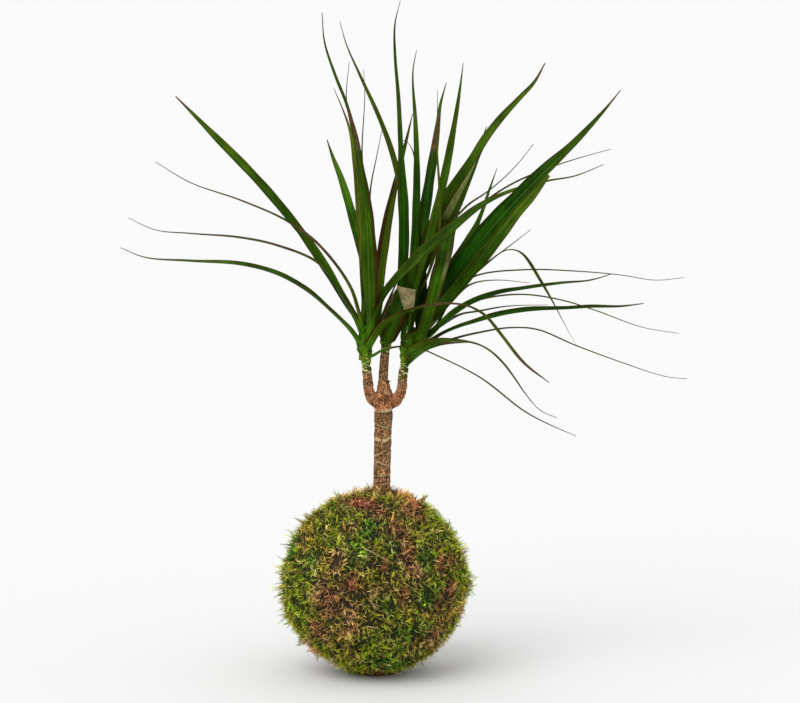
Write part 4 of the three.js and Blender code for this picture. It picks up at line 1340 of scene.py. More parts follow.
@dataclass(frozen=True)
class Cane:
    """The woody cane: trunk, knob and three short branches in one skin."""

    trunk: CanePlan = TRUNK  # The run from the moss to the centre shoot
    branches: tuple[CanePlan, ...] = (LEFT_BRANCH, RIGHT_BRANCH)  # The runs that leave the knob
    # The dry buds on the knob
    buds: tuple[Bud, ...] = (
        Bud((-1.5, -2.2, 211.8), (-0.9, -0.3, -0.05), 3.6, 2.2),
        Bud((1.2, -3.5, 216), (-0.6, -0.6, 0.5), 4.0, 1.7),
        Bud((9, 0.5, 226.6), (1, -0.2, 0.1), 4.4, 0.7),
        Bud((16.5, -1, 211.6), (0.8, -0.3, -0.35), 4.0, 2.4),
    )
    # The leaf scars that stand out on the trunk
    scars: tuple[LeafScar, ...] = (
        LeafScar(204.6, 0.02, 0.6, 1.1, 0.95),
        LeafScar(192.5, -0.36, 0.0, 0.35, 0.8),
        LeafScar(181.5, 0.03, 2.0, 1.4, 0.95),
        LeafScar(172.2, 0.5, 0.0, 0.4, 0.8),
        LeafScar(163.6, -0.42, 0.8, 0.5, 0.7),
        LeafScar(154.0, 0.1, 0.5, 0.6, 0.35),
    )
    trunk_half: Span = (5.5, 6.5)  # Where the middle of the trunk's upper part is, and half its width
    marked_from: float = 146.0  # Height from which it has rings
    marked_run: Span = (130.0, 40.0)  # Length of the trunk and of a branch that may have rings
    knob: Span = (205.0, 224.0)  # Heights where the red of the knob starts and ends
    knob_fade: float = 2.5  # Height over which that red fades
    grain: float = 0.6  # Size of the squares that the skin is made of
    relief: float = 0.45  # Height of the bark's lumps
    groove_depth: float = 0.34  # Depth of the groove under a ring
    seed: int = 5  # For the faint rings

    @property
    def runs(self) -> tuple[CanePlan, ...]:
        """The trunk, then the branches."""
        return (self.trunk, *self.branches)

    def rough_skin(self) -> Mesh:
        """All runs and buds joined in one even skin.

        Returns:
            Its mesh, in metres.
        """
        draft = MeshDraft()
        for plan in self.runs:
            route = plan.route()
            draft.add(*tube(route, plan.radii, max(12, round(route.length / 1.6)), 28))
        for bud in self.buds:
            draft.add(*bud.skin())
        holder = place_object("cane_rough", draft.mesh("cane_rough"))
        join = holder.modifiers.new("join", "REMESH")
        join.mode = "VOXEL"
        join.voxel_size = self.grain * MM
        join.use_smooth_shade = True
        return taken_mesh(holder)

    def bark_points(self, places: Rows) -> BarkPoints:
        """Finds the run that each point is on.

        Args:
            places: Rows of points.

        Returns:
            The points with what is known of them.
        """
        best = np.full(len(places), np.inf)
        run, along, bearing = (np.zeros(len(places)) for _ in range(3))
        for number, plan in enumerate(self.runs):
            route = plan.route()
            shares = np.linspace(0, 1, round(route.length))
            middles, radii = route.at(shares), eased(plan.radii, shares)
            away = np.linalg.norm(places[:, None, :] - middles[None], axis=2) - radii[None]
            nearest = away.argmin(axis=1)
            least = away[np.arange(len(places)), nearest]
            closer = least < best
            out = places - middles[nearest]
            best = np.where(closer, least, best)
            run = np.where(closer, number, run)
            along = np.where(closer, shares[nearest] * route.length, along)
            bearing = np.where(closer, np.arctan2(out[:, 1], out[:, 0]), bearing)
        lump, fine = field_noise(places, 5.0, 1.0), field_noise(places, 1.6, 2.0)
        return BarkPoints(places, run, along, bearing, lump, fine)

    def rings(self, bark: BarkPoints, greening: Rows) -> tuple[Rows, Rows]:
        """The faint rings that old leaves left on every run.

        Args:
            bark: The skin's points.
            greening: How green each is.

        Returns:
            How much of a scar and how much of a groove there is at each point.
        """
        height = bark.places[:, 2]
        scar, groove = np.zeros(len(height)), np.zeros(len(height))
        random = np.random.default_rng(self.seed)
        for number, plan in enumerate(self.runs):
            here = (bark.run == number) * (height > self.marked_from)
            pale, depth, greened = 0.3, 0.6, 0.0
            if number:
                pale = 0.3 + 0.7 * smooth_step(height, *(np.array(plan.green_from) - 2))
                depth, greened = 0.9, greening
            broken = np.maximum(smooth_step(bark.lump, -0.5, 0.3), greened)
            for spot in np.arange(plan.ring_gap, self.marked_run[min(number, 1)], plan.ring_gap):
                level = spot + random.uniform(-0.3, 0.3) * plan.ring_gap
                half_turn = math.pi * (round(spot / plan.ring_gap) % 2)
                swing = plan.zigzag * np.cos(bark.bearing - half_turn + 0.3)
                away = bark.along + swing + 0.5 * bark.fine - level
                scar = np.maximum(scar, np.exp(-((away / 0.42) ** 2)) * here * pale * broken)
                groove = np.maximum(groove, np.exp(-(((away + 0.8) / 0.5) ** 2)) * here * depth)
        return scar, groove

    def build(self, finishes: "Finishes") -> None:
        """Makes the cane and fixes it to the plant.

        Args:
            finishes: The materials.
        """
        made = self.rough_skin()
        places = np.empty(len(made.vertices) * 3)
        made.vertices.foreach_get("co", places)
        places = places.reshape(-1, 3) / MM
        normals = np.array([vertex.normal for vertex in made.vertices])
        bark = self.bark_points(places)
        height, lump, fine = places[:, 2], bark.lump, bark.fine
        greening = np.zeros(len(places))
        for number, plan in enumerate(self.runs):
            green = smooth_step(height + 2 * lump, *plan.green_from)
            greening = np.where(bark.run == number, green, greening)
        scar, groove = self.rings(bark, greening)
        aside = places[:, 0] - self.trunk_half[0]
        for mark in self.scars:
            level = mark.height + mark.slope * aside + mark.bend * (aside / self.trunk_half[1]) ** 2
            near = np.exp(-(((height - level) / mark.width) ** 4)) * (bark.run == 0)
            scar = np.maximum(scar, mark.strength * near * smooth_step(lump + fine, -0.9, 0.1))
            below = np.exp(-(((height - level + mark.width + 0.5) / 0.5) ** 2)) * (bark.run == 0)
            groove = np.maximum(groove, 0.9 * below)
        middle, reach = sum(self.knob) / 2, (self.knob[1] - self.knob[0]) / 2
        away = np.abs(height - middle) + 2.5 * lump
        knobby = smooth_step(away, reach + self.knob_fade, reach - self.knob_fade)
        push = self.relief * (0.55 * lump + 0.35 * fine) * (1 + 0.9 * knobby) - self.groove_depth * groove
        made.vertices.foreach_set("co", ((places + normals * push[:, None]) * MM).ravel())
        for label, column in (("scar", scar), ("groove", groove), ("knobby", knobby), ("greening", greening)):
            keep_values(made, label, column)
        made.materials.clear()
        made.materials.append(finishes.bark)
        made.shade_smooth()
        made.update()
        dress(place_object("cane_bark", made), "bark", "cane")


class GeometryRecipe(NodeRecipe):
    """A Geometry Nodes tree with named inputs, and short calls that build and run it."""

    def __init__(self, name: str) -> None:
        """Makes a tree that takes and gives a mesh.

        Args:
            name: The tree's name.
        """
        super().__init__(bpy.data.node_groups.new(name, "GeometryNodeTree"))
        self.tree.interface.new_socket("Geometry", in_out="OUTPUT", socket_type="NodeSocketGeometry")
        self._given = self.tree.nodes.new("NodeGroupInput")
        self._result = self.tree.nodes.new("NodeGroupOutput")
        self._inputs: dict[str, str] = {}
        self.mesh_in = self.take("Geometry", "Geometry")

    def take(self, name: str, kind: str = "Float") -> Socket:
        """Adds a named input.

        Args:
            name: The input's name.
            kind: What it takes.

        Returns:
            The socket that gives it inside the tree.
        """
        made = self.tree.interface.new_socket(name, in_out="INPUT", socket_type="NodeSocket" + kind)
        self._inputs[name] = made.identifier
        return next(socket for socket in self._given.outputs if socket.identifier == made.identifier)

    def first(self, kind: str, inputs: Inputs, **settings: object) -> Socket:
        """Adds a node and gives its first output."""
        return self.node(kind, inputs, **settings).outputs[0]

    def random(self, low: object, high: object, seed: object) -> Socket:
        """A random number for each element."""
        inputs = {2: low, 3: high, "Seed": seed}
        return self.node("FunctionNodeRandomValue", inputs, data_type="FLOAT").outputs[1]

    def turned(self, rotation: Socket, axis: Triple, angle: object) -> Socket:
        """A rotation followed by a turn about one of its own axes."""
        turn = self.first("FunctionNodeAxisAngleToRotation", {"Axis": axis, "Angle": angle})
        return self.first("FunctionNodeRotateRotation", {0: rotation, 1: turn}, rotation_space="LOCAL")

    def end(self, geometry: Socket) -> None:
        """Ends the tree with Realize Instances and Set Material.

        Args:
            geometry: What the tree has made.
        """
        real = self.first("GeometryNodeRealizeInstances", {"Geometry": geometry})
        inputs = {"Geometry": real, "Material": self.take("Material", "Material")}
        self.feed(self._result.inputs[0], self.first("GeometryNodeSetMaterial", inputs))

    def run(self, name: str, start: Mesh, **values: object) -> Piece:
        """Runs the tree on a mesh and keeps the result as a plain mesh.

        Args:
            name: The new object's name.
            start: The mesh that goes in.
            **values: The named inputs, with underscores for spaces.

        Returns:
            The new object, with no modifier.
        """
        holder = place_object(name + "_start", start)
        modifier = holder.modifiers.new(name, "NODES")
        modifier.node_group = self.tree
        for label, value in values.items():
            modifier[self._inputs[label.replace("_", " ")]] = value
        made = taken_mesh(holder)
        made.name = name
        return place_object(name, made)


class GrowthTree(GeometryRecipe):
    """Stands copies of a few small shoots all over a surface, combed in drifts."""

    DRIFT = 55.0  # drifts to a metre, about
    FLOOR = 0.25 * MM

    def __init__(self) -> None:
        """Builds the tree."""
        super().__init__("moss_growth")
        shoots, seed = self.take("Shoots", "Collection"), self.take("Seed", "Int")
        density = self.take("Per square metre")
        room = self.first("GeometryNodeInputNamedAttribute", {"Name": "room"}, data_type="FLOAT")
        inputs = {"Mesh": self.mesh_in, "Density": self.times(density, room), "Seed": seed}
        spread = self.node("GeometryNodeDistributePointsOnFaces", inputs)
        tone = {"Geometry": spread.outputs["Points"], "Name": "tone", "Value": self.random(0.0, 1.0, seed)}
        points = self.first("GeometryNodeStoreNamedAttribute", tone, data_type="FLOAT", domain="POINT")
        place = self.first("GeometryNodeInputPosition", {})
        combed = self.combed(spread.outputs["Rotation"], place, seed)
        inputs = {"Collection": shoots, "Separate Children": True, "Reset Children": True}
        kinds = self.first("GeometryNodeCollectionInfo", inputs)
        size = self.random(self.take("Least size"), self.take("Most size"), self.math("ADD", seed, 41))
        inputs = {"Points": points, "Instance": kinds, "Pick Instance": True}
        inputs.update({"Rotation": combed, "Scale": size})
        grown = self.first("GeometryNodeInstanceOnPoints", inputs)
        real = self.first("GeometryNodeRealizeInstances", {"Geometry": grown})
        parts = self.node("ShaderNodeSeparateXYZ", {0: place}).outputs
        inputs = {"X": parts["X"], "Y": parts["Y"], "Z": self.math("MAXIMUM", parts["Z"], self.FLOOR)}
        above = self.first("ShaderNodeCombineXYZ", inputs)
        self.end(self.first("GeometryNodeSetPosition", {"Geometry": real, "Position": above}))

    def combed(self, upright: Socket, place: Socket, seed: Socket) -> Socket:
        """Turns the shoots along the drifts, lets them stray and lean, and spins each on its stem.

        Args:
            upright: The rotation that stands a shoot on the surface.
            place: Where it stands.
            seed: The seed.

        Returns:
            The rotation's socket.
        """
        stray = self.take("Stray")
        drift = self.node("ShaderNodeTexNoise", {"Vector": place, "Scale": self.DRIFT, "Detail": 1.0})
        way = self.vector("SUBTRACT", {0: drift.outputs["Color"], 1: (0.5, 0.5, 0.5)})
        inputs = {"Rotation": upright, "Vector": way}
        combed = self.first("FunctionNodeAlignRotationToVector", inputs, axis="X", pivot_axis="Z")
        strayed = self.random(self.times(stray, -1.0), stray, self.math("ADD", seed, 11))
        lean = self.random(self.take("Least lean"), self.take("Most lean"), self.math("ADD", seed, 23))
        spin = self.random(-math.pi, math.pi, self.math("ADD", seed, 37))
        combed = self.turned(self.turned(combed, (0, 0, 1), strayed), (0, 1, 0), lean)
        return self.turned(combed, (0, 0, 1), spin)


class TwistTree(GeometryRecipe):
    """A two-ply thread along a closed path."""

    PLY_SIDES = 5

    def __init__(self) -> None:
        """Builds the tree."""
        super().__init__("twisted_thread")
        radius, turns = self.take("Ply radius"), self.take("Turns")
        path = self.first("GeometryNodeMeshToCurve", {"Mesh": self.mesh_in})
        inputs = {"Curve": path, "Length": self.take("Step")}
        path = self.first("GeometryNodeResampleCurve", inputs, mode="LENGTH")
        share = self.node("GeometryNodeSplineParameter", {}).outputs["Factor"]
        normal = self.first("GeometryNodeInputNormal", {})
        across = self.vector("CROSS_PRODUCT", {0: self.first("GeometryNodeInputTangent", {}), 1: normal})
        inputs = {"Resolution": self.PLY_SIDES, "Radius": radius}
        profile = self.node("GeometryNodeCurvePrimitiveCircle", inputs).outputs["Curve"]
        joined = self.node("GeometryNodeJoinGeometry", {})
        for phase in (0.0, math.pi):
            turn = self.math("MULTIPLY_ADD", self.times(share, turns), 2 * math.pi, phase)
            aside = self.vector("SCALE", {0: normal, "Scale": self.times(self.math("COSINE", turn), radius)})
            out = self.vector("SCALE", {0: across, "Scale": self.times(self.math("SINE", turn), radius)})
            inputs = {"Geometry": path, "Offset": self.vector("ADD", {0: aside, 1: out})}
            inputs = {"Curve": self.first("GeometryNodeSetPosition", inputs), "Profile Curve": profile}
            self.feed(joined.inputs[0], self.first("GeometryNodeCurveToMesh", inputs))
        self.end(joined.outputs[0])


class MossHue(Enum):
    """What colour a patch of moss is."""

    LIME = (0.2, 0.262, 0.01)
    GREEN = (0.12, 0.225, 0.012)
    DEEP = (0.045, 0.15, 0.012)
    OLIVE = (0.215, 0.2, 0.018)
    GOLD = (0.37, 0.26, 0.03)
    TAN = (0.46, 0.27, 0.11)
    BROWN = (0.29, 0.135, 0.05)
    RUSSET = (0.38, 0.095, 0.055)


@dataclass(frozen=True)
class Patch:
    """A patch of moss: its middle in the window, its radius and its colour."""

    across: float
    up: float
    radius: float
    hue: MossHue


# Later patches grow over earlier ones.
FRONT_PATCHES = tuple(Patch(*row) for row in (
    (-28, 110, 15, MossHue.LIME), (-59, 68, 17, MossHue.LIME), (-53, 107, 10, MossHue.GOLD),
    (-18, 134, 12, MossHue.BROWN), (-4, 133, 8, MossHue.RUSSET), (2, 128, 8, MossHue.BROWN),
    (27, 128, 13, MossHue.BROWN), (46, 121, 10, MossHue.GREEN), (-27, 93, 8, MossHue.TAN),
    (-48, 89, 8, MossHue.GREEN), (-8, 134, 10, MossHue.RUSSET), (5, 142, 9, MossHue.BROWN),
    (-11, 142, 8, MossHue.BROWN), (17, 141, 7, MossHue.BROWN), (31, 134, 8, MossHue.RUSSET),
    (-17, 112, 8, MossHue.BROWN), (14, 99, 8, MossHue.GREEN), (50, 118, 9, MossHue.LIME),
    (-33, 56, 17, MossHue.BROWN), (-42, 34, 12, MossHue.BROWN), (-20, 44, 9, MossHue.TAN),
    (-17, 74, 10, MossHue.BROWN), (-18, 71, 6, MossHue.RUSSET), (-2, 77, 10, MossHue.OLIVE),
    (15, 114, 9, MossHue.BROWN), (-5, 110, 9, MossHue.GREEN), (-4, 112, 5, MossHue.DEEP),
    (26, 95, 9, MossHue.BROWN), (23, 105, 4, MossHue.RUSSET), (27, 88, 5, MossHue.RUSSET),
    (6, 85, 4, MossHue.RUSSET), (42, 90, 10, MossHue.GREEN), (18, 68, 14, MossHue.OLIVE),
    (22, 62, 8, MossHue.BROWN), (-4, 40, 11, MossHue.OLIVE), (-4, 26, 12, MossHue.LIME),
    (10, 54, 9, MossHue.GREEN), (44, 65, 9, MossHue.GREEN), (45, 58, 5, MossHue.DEEP),
    (57, 60, 11, MossHue.BROWN), (60, 89, 8, MossHue.BROWN), (26, 31, 15, MossHue.GREEN),
    (46, 33, 6, MossHue.BROWN), (2, 11, 9, MossHue.DEEP), (-18, 14, 10, MossHue.OLIVE),
    (-66, 101, 12, MossHue.LIME), (-71, 84, 10, MossHue.LIME), (-30, 138, 7, MossHue.RUSSET),
    (56, 104, 12, MossHue.LIME), (67, 82, 8, MossHue.LIME), (52, 49, 9, MossHue.OLIVE),
))

# Where the ball's outline stands out: across and up in the window, reach, height.
SWELLS = ((-76, 60, 26, 1.5), (-70, 40, 18, 1.0), (76, 73, 11, 1.6), (30, 143, 8, 0.8), (-60, 18, 12, 0.8))
# Where long tufts stand out from the ball's outline, as (across, up).
TUFT_PLACES: Pairs = (
    (-31.7, 143.5), (-17, 147.8), (29.3, 143.5), (42.3, 134.8), (-70, 106.8), (-75.5, 82), (-76.5, 67),
    (-76.5, 48.5), (-72, 40), (-59, 18), (-55, 10.6), (72.5, 95), (78, 72), (-57, 126), (62.8, 111), (76, 66),
)


@dataclass(frozen=True)
class ShootForm:
    """The form of one small moss shoot."""

    length: float
    radius: float  # Its radius at the foot
    bend: float  # How far it bends over on its way, in radians
    sway: float  # How far it sways sideways, in radians
    leaflets: int = 0  # How many leaflets it has

    STATIONS = 5
    SIDES = 3
    TAPER = 0.72
    ACROSS = (0.1, 1.0, 0.05)  # what the stem and its leaflets are turned by
    LEAFLET_SKIN = ((0, 2, 1), (0, 3, 2), (1, 2, 3), (0, 1, 3))

    def leaflet(self, share: float, middle: Rows, way: Rows, side: int) -> Rows:
        """One leaflet, a thin wedge that slants up from the stem.

        Args:
            share: Where it sits along the stem.
            middle: That place.
            way: The stem's direction there.
            side: 1 for one side of the stem, -1 for the other.

        Returns:
            Its four corners, the tip last.
        """
        heading = unit(way)
        aside = unit(np.cross(heading, self.ACROSS)) * side
        reach = 0.25 * self.length * (1.15 - share)
        tip = middle + (heading * 0.75 + aside) * reach * 0.8
        broad = heading * 0.44
        thick = np.cross(heading, aside) * 0.24
        ridge = middle + thick + aside * reach * 0.3
        return np.array([middle - broad * 0.5, middle + broad * 0.6, ridge, tip])

    def mesh(self, name: str) -> Mesh:
        """The shoot as a small closed skin, standing on the origin.

        Args:
            name: The mesh's name.

        Returns:
            The mesh, in metres.
        """
        shares = np.linspace(0, 1, self.STATIONS)
        lean, turn = self.bend * shares, self.sway * np.sin(shares * 4)
        aside = np.sin(lean) * np.sin(turn) + 0.2 * np.sin(turn)
        way = unit(np.stack([np.sin(lean) * np.cos(turn), aside, np.cos(lean)]).T)
        steps = (way[:-1] + way[1:]) * 0.5 * self.length / (self.STATIONS - 1)
        middles = np.vstack([np.zeros(3), np.cumsum(steps, axis=0)])
        across = unit(np.cross(way, self.ACROSS))
        turns = np.linspace(0, 2 * math.pi, self.SIDES, endpoint=False)
        ways = spokes(across, np.cross(way, across), turns)
        rings = middles[:, None, :] + (self.radius * (1 - self.TAPER * shares))[:, None, None] * ways
        verts = np.vstack([rings[:-1].reshape(-1, 3), middles[-1:]])
        faces = skin_faces(self.STATIONS - 1, self.SIDES)[:-1]
        last = (self.STATIONS - 2) * self.SIDES
        faces += [(last + j, last + (j + 1) % self.SIDES, len(verts) - 1) for j in range(self.SIDES)]
        draft = MeshDraft()
        draft.add(verts, faces, along=np.append(np.repeat(shares[:-1], self.SIDES), 1.0))
        for number in range(self.leaflets):
            share = 0.22 + 0.72 * number / self.leaflets
            middle, heading = (
                np.array([np.interp(share, shares, row) for row in rows.T]) for rows in (middles, way)
            )
            side = 1 if number % 2 else -1
            faces = [face[::-side] for face in self.LEAFLET_SKIN]
            along = np.array([share, share, 0.5 + share / 2, 1.0])
            draft.add(self.leaflet(share, middle, heading, side), faces, along=along)
        made = draft.mesh(name)
        made.shade_smooth()
        return made


@dataclass(frozen=True)
class Growth:
    """One layer of moss shoots."""

    name: str
    forms: tuple[ShootForm, ...]  # The shoots that it is made of
    count: int  # How many there are on the whole ball
    lean_deg: Span  # The least and the greatest lean
    size: Span  # The least and the greatest size
    stray: float  # How far the shoots stray from the drift, in radians
    seed: int
    tufted: bool = False  # True where it stands in tufts


WIRY = (
    ShootForm(7.5, 0.3, 1.6, 0.5), ShootForm(8.5, 0.28, 2.4, -0.8), ShootForm(6.5, 0.31, 1.0, 0.3),
    ShootForm(9.0, 0.27, 3.0, 1.0), ShootForm(7.0, 0.28, 2.0, -0.4), ShootForm(8.0, 0.28, 0.7, 1.1),
)
FEATHERY = (
    ShootForm(8.4, 0.3, 0.8, 0.2, 9), ShootForm(7.6, 0.28, 1.3, -0.3, 8), ShootForm(9.6, 0.28, 0.5, 0.4, 10),
)


@dataclass(frozen=True)
class MossBall:
    """The moss round the soil: a felt with drifts of curling shoots, pressed flat where it rests."""

    felt_radius: float = 67.6  # Radius of the felt, under its cushions
    field_radius: float = 70.0  # Radius at which the random fields of its cushions and colours are read
    patch_radius: float = 71.0  # Radius at which its patches are measured
    rest_spot: float = 19.0  # Radius of the flat spot that it rests on
    rest_gap: float = 0.1  # How far the flat spot is above the floor
    cushion: float = 2.4  # Height of its cushions
    rough: float = 0.9  # Height of the small lumps on them
    trunk_at: Span = (4.9, 0.0)  # Where the trunk comes out
    trunk_room: float = 5.6  # Radius round the trunk's axis where nothing grows
    trunk_from: float = 120.0  # Height from which that holds
    collar: Span = (10.5, 3.2)  # How far out and how high the moss climbs at the trunk's foot
    patches: tuple[Patch, ...] = FRONT_PATCHES  # The patches of the front
    back_patches: int = 80  # How many more there are on the rest of the ball
    swells: tuple[tuple[float, ...], ...] = SWELLS  # Where its outline stands out
    tuft_places: Pairs = TUFT_PLACES  # Where long tufts stand
    tuft_reach: float = 5.0  # How far a tuft spreads
    outline_depth: float = 4.0  # How far in front of the centre the swells and tufts of the outline are
    # The layers of shoots
    growths: tuple[Growth, ...] = (
        Growth("moss_lying_1", WIRY, 7800, (60, 90), (0.75, 1.15), 1.1, 1),
        Growth("moss_lying_2", WIRY, 7800, (60, 90), (0.75, 1.15), 1.1, 2),
        Growth("moss_rising", WIRY, 7800, (34, 70), (0.7, 1.1), 1.6, 3),
        Growth("moss_feathers", FEATHERY, 2600, (46, 82), (0.7, 1.1), 1.3, 4),
        Growth("moss_tufts", FEATHERY, 9000, (6, 46), (0.7, 1.45), 3.1, 5, tufted=True),
    )
    seed: int = 11  # For the patches that have no place of their own

    def field(self, ways: Rows, size: float, seed: float, octaves: int = 3) -> Rows:
        """A random field on the ball, read in each direction from its centre."""
        return field_noise(ways * self.field_radius, size, seed, octaves)

    def mound(self, ways: Rows, across: float, up: float, reach: float) -> Rows:
        """A mound of height 1 in each direction, about a place on the outline in the window."""
        way = unit(np.array([across - BALL_CENTRE[0], -self.outline_depth, up - BALL_CENTRE[2]]))
        return np.exp(-((angles(ways, way) * self.felt_radius / reach) ** 2))

    def place_patches(self) -> tuple[Rows, Rows, Rows]:
        """All patches on the ball.

        Returns:
            Their directions from the centre, their angular radii and their colours.
        """
        random = np.random.default_rng(self.seed)
        hues = list(MossHue)
        directions, radii, colours = [], [], []
        while len(radii) < self.back_patches:
            directions.append(unit(random.normal(size=3)))
            radii.append(random.uniform(0.08, 0.24))
            colours.append(hues[random.integers(len(hues))].value)
        for patch in self.patches:
            directions.append(unit(WINDOW.on_ball(patch.across, patch.up, self.patch_radius) - BALL_CENTRE))
            radii.append(patch.radius / self.patch_radius)
            colours.append(patch.hue.value)
        return np.array(directions), np.array(radii), np.array(colours)

    def from_trunk(self, places: Rows) -> Rows:
        """How far from the trunk's axis points are."""
        return np.hypot(*(places[:, :2] - self.trunk_at).T)

    def colours(self, ways: Rows, collar: Rows) -> Rows:
        """The colour of the moss in each direction.

        Args:
            ways: Directions from the ball's centre.
            collar: How much of the collar round the trunk is there.

        Returns:
            Rows of colours.
        """
        lime, olive, green, brown = (
            np.array(hue.value) for hue in (MossHue.LIME, MossHue.OLIVE, MossHue.GREEN, MossHue.BROWN)
        )
        speckle = self.field(ways, 6.0, 6.0)
        colour = mixed(lime, olive, smooth_step(self.field(ways, 22.0, 5.0) + 0.8 * speckle, -0.6, 0.4))
        colour = mixed(colour, green, smooth_step(self.field(ways, 9.0, 7.0), 0.2, 0.6))
        for way, reach, hue in zip(*self.place_patches()):
            colour = mixed(colour, hue, smooth_step(angles(ways, way) / reach + 0.7 * speckle, 1.15, 0.65))
        return mixed(colour, brown, 0.8 * collar * (speckle > -0.3))

    def felt(self) -> Mesh:
        """The felt: its shape, the colour of each place and the room there is for shoots.

        Returns:
            Its mesh, in metres.
        """
        made = bpy.data.meshes.new("moss_felt")
        shell = bmesh.new()
        bmesh.ops.create_icosphere(shell, subdivisions=6, radius=1.0)
        shell.to_mesh(made)
        shell.free()
        ways = unit(np.array([vertex.co for vertex in made.vertices]))
        radius = self.felt_radius + self.cushion * (0.5 + 0.5 * self.field(ways, 17.0, 3.0, 2))
        radius += self.rough * self.field(ways, 4.5, 4.0, 2)
        for *place, reach, height in self.swells:
            radius += height * self.mound(ways, *place, reach)
        from_trunk = self.from_trunk(BALL_CENTRE + ways * radius[:, None])
        collar = np.exp(-((from_trunk / self.collar[0]) ** 2)) * (ways[:, 2] > 0)
        radius += self.collar[1] * collar
        down, rest = -ways[:, 2], BALL_CENTRE[2] - self.rest_gap
        resting = angles(ways, np.array([0.0, 0.0, -1.0])) < math.atan(self.rest_spot / BALL_CENTRE[2])
        radius = np.where(resting, rest / np.maximum(down, 0.2), radius)
        places = BALL_CENTRE + ways * radius[:, None]
        places[:, 2] = np.maximum(places[:, 2], self.rest_gap)
        made.vertices.foreach_set("co", (places * MM).ravel())
        keep_values(made, "moss_colour", self.colours(ways, collar))
        bare = (places[:, 2] > self.trunk_from) & (self.from_trunk(places) < self.trunk_room)
        room = np.where(resting, 0.25, np.where(bare, 0.0, 1.0))
        keep_values(made, "room", room)
        tufts = 0.25 * smooth_step(self.field(ways, 7.0, 8.0, 2), 0.3, 0.6)
        for spot in self.tuft_places:
            tufts = np.maximum(tufts, self.mound(ways, *spot, self.tuft_reach))
        keep_values(made, "tufts", tufts * (room > 0.5))
        made.shade_smooth()
        made.update()
        return made

    def grow(self, tree: GrowthTree, growth: Growth, felt: Mesh, finish: Material) -> None:
        """Grows one layer of shoots on the felt and fixes it to the plant.

        Args:
            tree: The tree that stands the shoots on the felt.
            growth: The layer.
            felt: The felt.
            finish: The shoots' material.
        """
        area = 4 * math.pi * (self.felt_radius + self.cushion) ** 2 * MM * MM
        kinds = bpy.data.collections.new(growth.name + "_kinds")
        for number, form in enumerate(growth.forms):
            name = f"{growth.name}_kind_{number}"
            kinds.objects.link(bpy.data.objects.new(name, form.mesh(name)))
        ground = felt.copy()
        if growth.tufted:
            tufts = np.empty(len(ground.vertices))
            ground.attributes["tufts"].data.foreach_get("value", tufts)
            ground.attributes["room"].data.foreach_set("value", tufts)
        piece = tree.run(
            growth.name, ground, Shoots=kinds, Per_square_metre=growth.count / area, Seed=growth.seed,
            Least_lean=math.radians(growth.lean_deg[0]), Most_lean=math.radians(growth.lean_deg[1]),
            Least_size=growth.size[0], Most_size=growth.size[1], Stray=growth.stray, Material=finish,
        )
        for kind in list(kinds.objects):
            bpy.data.objects.remove(kind)
        bpy.data.collections.remove(kinds)
        dress(piece, "moss")

    def build(self, finishes: "Finishes") -> None:
        """Makes the felt and its shoots, and fixes them to the plant.

        Args:
            finishes: The materials.
        """
        felt = self.felt()
        tree = GrowthTree()
        for growth in self.growths:
            self.grow(tree, growth, felt, finishes.moss)
        felt.materials.append(finishes.felt)
        dress(place_object("moss_felt", felt), "moss", "moss_cover")


@dataclass(frozen=True)
class BindingThread:
    """The thread that holds the moss on, sunk in it for most of its way."""

    # Azimuth and tilt of the axis that each wrap goes round, in degrees
    wraps: Pairs = ((31, 54), (100, 17), (162, 27))
    radius: float = 69.0  # Radius of a wrap
    wander: float = 0.9  # How far it rises and sinks
    waves: int = 7  # How often it does on its way round
    stations: int = 180  # Points on its way round
    ply_radius: float = 0.26  # Radius of each of its two plies
    lay: float = 3.4  # Length of one twist
    step: float = 1.6  # Length between the thread's own stations

    def path(self, azimuth: float, tilt: float) -> Mesh:
        """The closed path of one wrap.

        Args:
            azimuth: Of the axis that it goes round.
            tilt: Of that axis.

        Returns:
            Its mesh of edges, in metres.
        """
        around, rise = math.radians(azimuth), math.radians(tilt)
        level = math.cos(rise)
        axis = np.array([math.cos(around) * level, math.sin(around) * level, math.sin(rise)])
        start = unit(np.cross(axis, [0.0, 0.0, 1.0]))
        turn = np.linspace(0, 2 * math.pi, self.stations, endpoint=False)
        reach = self.radius + self.wander * np.sin(turn * self.waves + tilt)
        places = BALL_CENTRE + spokes(start, np.cross(axis, start), turn) * reach[:, None]
        places[:, 2] = np.maximum(places[:, 2], 2.4 * self.ply_radius)
        made = bpy.data.meshes.new("wrap_path")
        edges = [(i, (i + 1) % len(places)) for i in range(len(places))]
        made.from_pydata((places * MM).tolist(), edges, [])
        return made

    def build(self, finishes: "Finishes") -> None:
        """Makes the wraps and fixes them to the plant.

        Args:
            finishes: The materials.
        """
        tree = TwistTree()
        turns = float(round(2 * math.pi * self.radius / self.lay))
        for number, wrap in enumerate(self.wraps):
            piece = tree.run(
                f"thread_wrap_{number + 1}", self.path(*wrap), Ply_radius=self.ply_radius * MM, Turns=turns,
                Step=self.step * MM, Material=finishes.thread,
            )
            piece.data.shade_smooth()
            dress(piece, "thread", *(("binding_thread",) if number == 0 else ()))


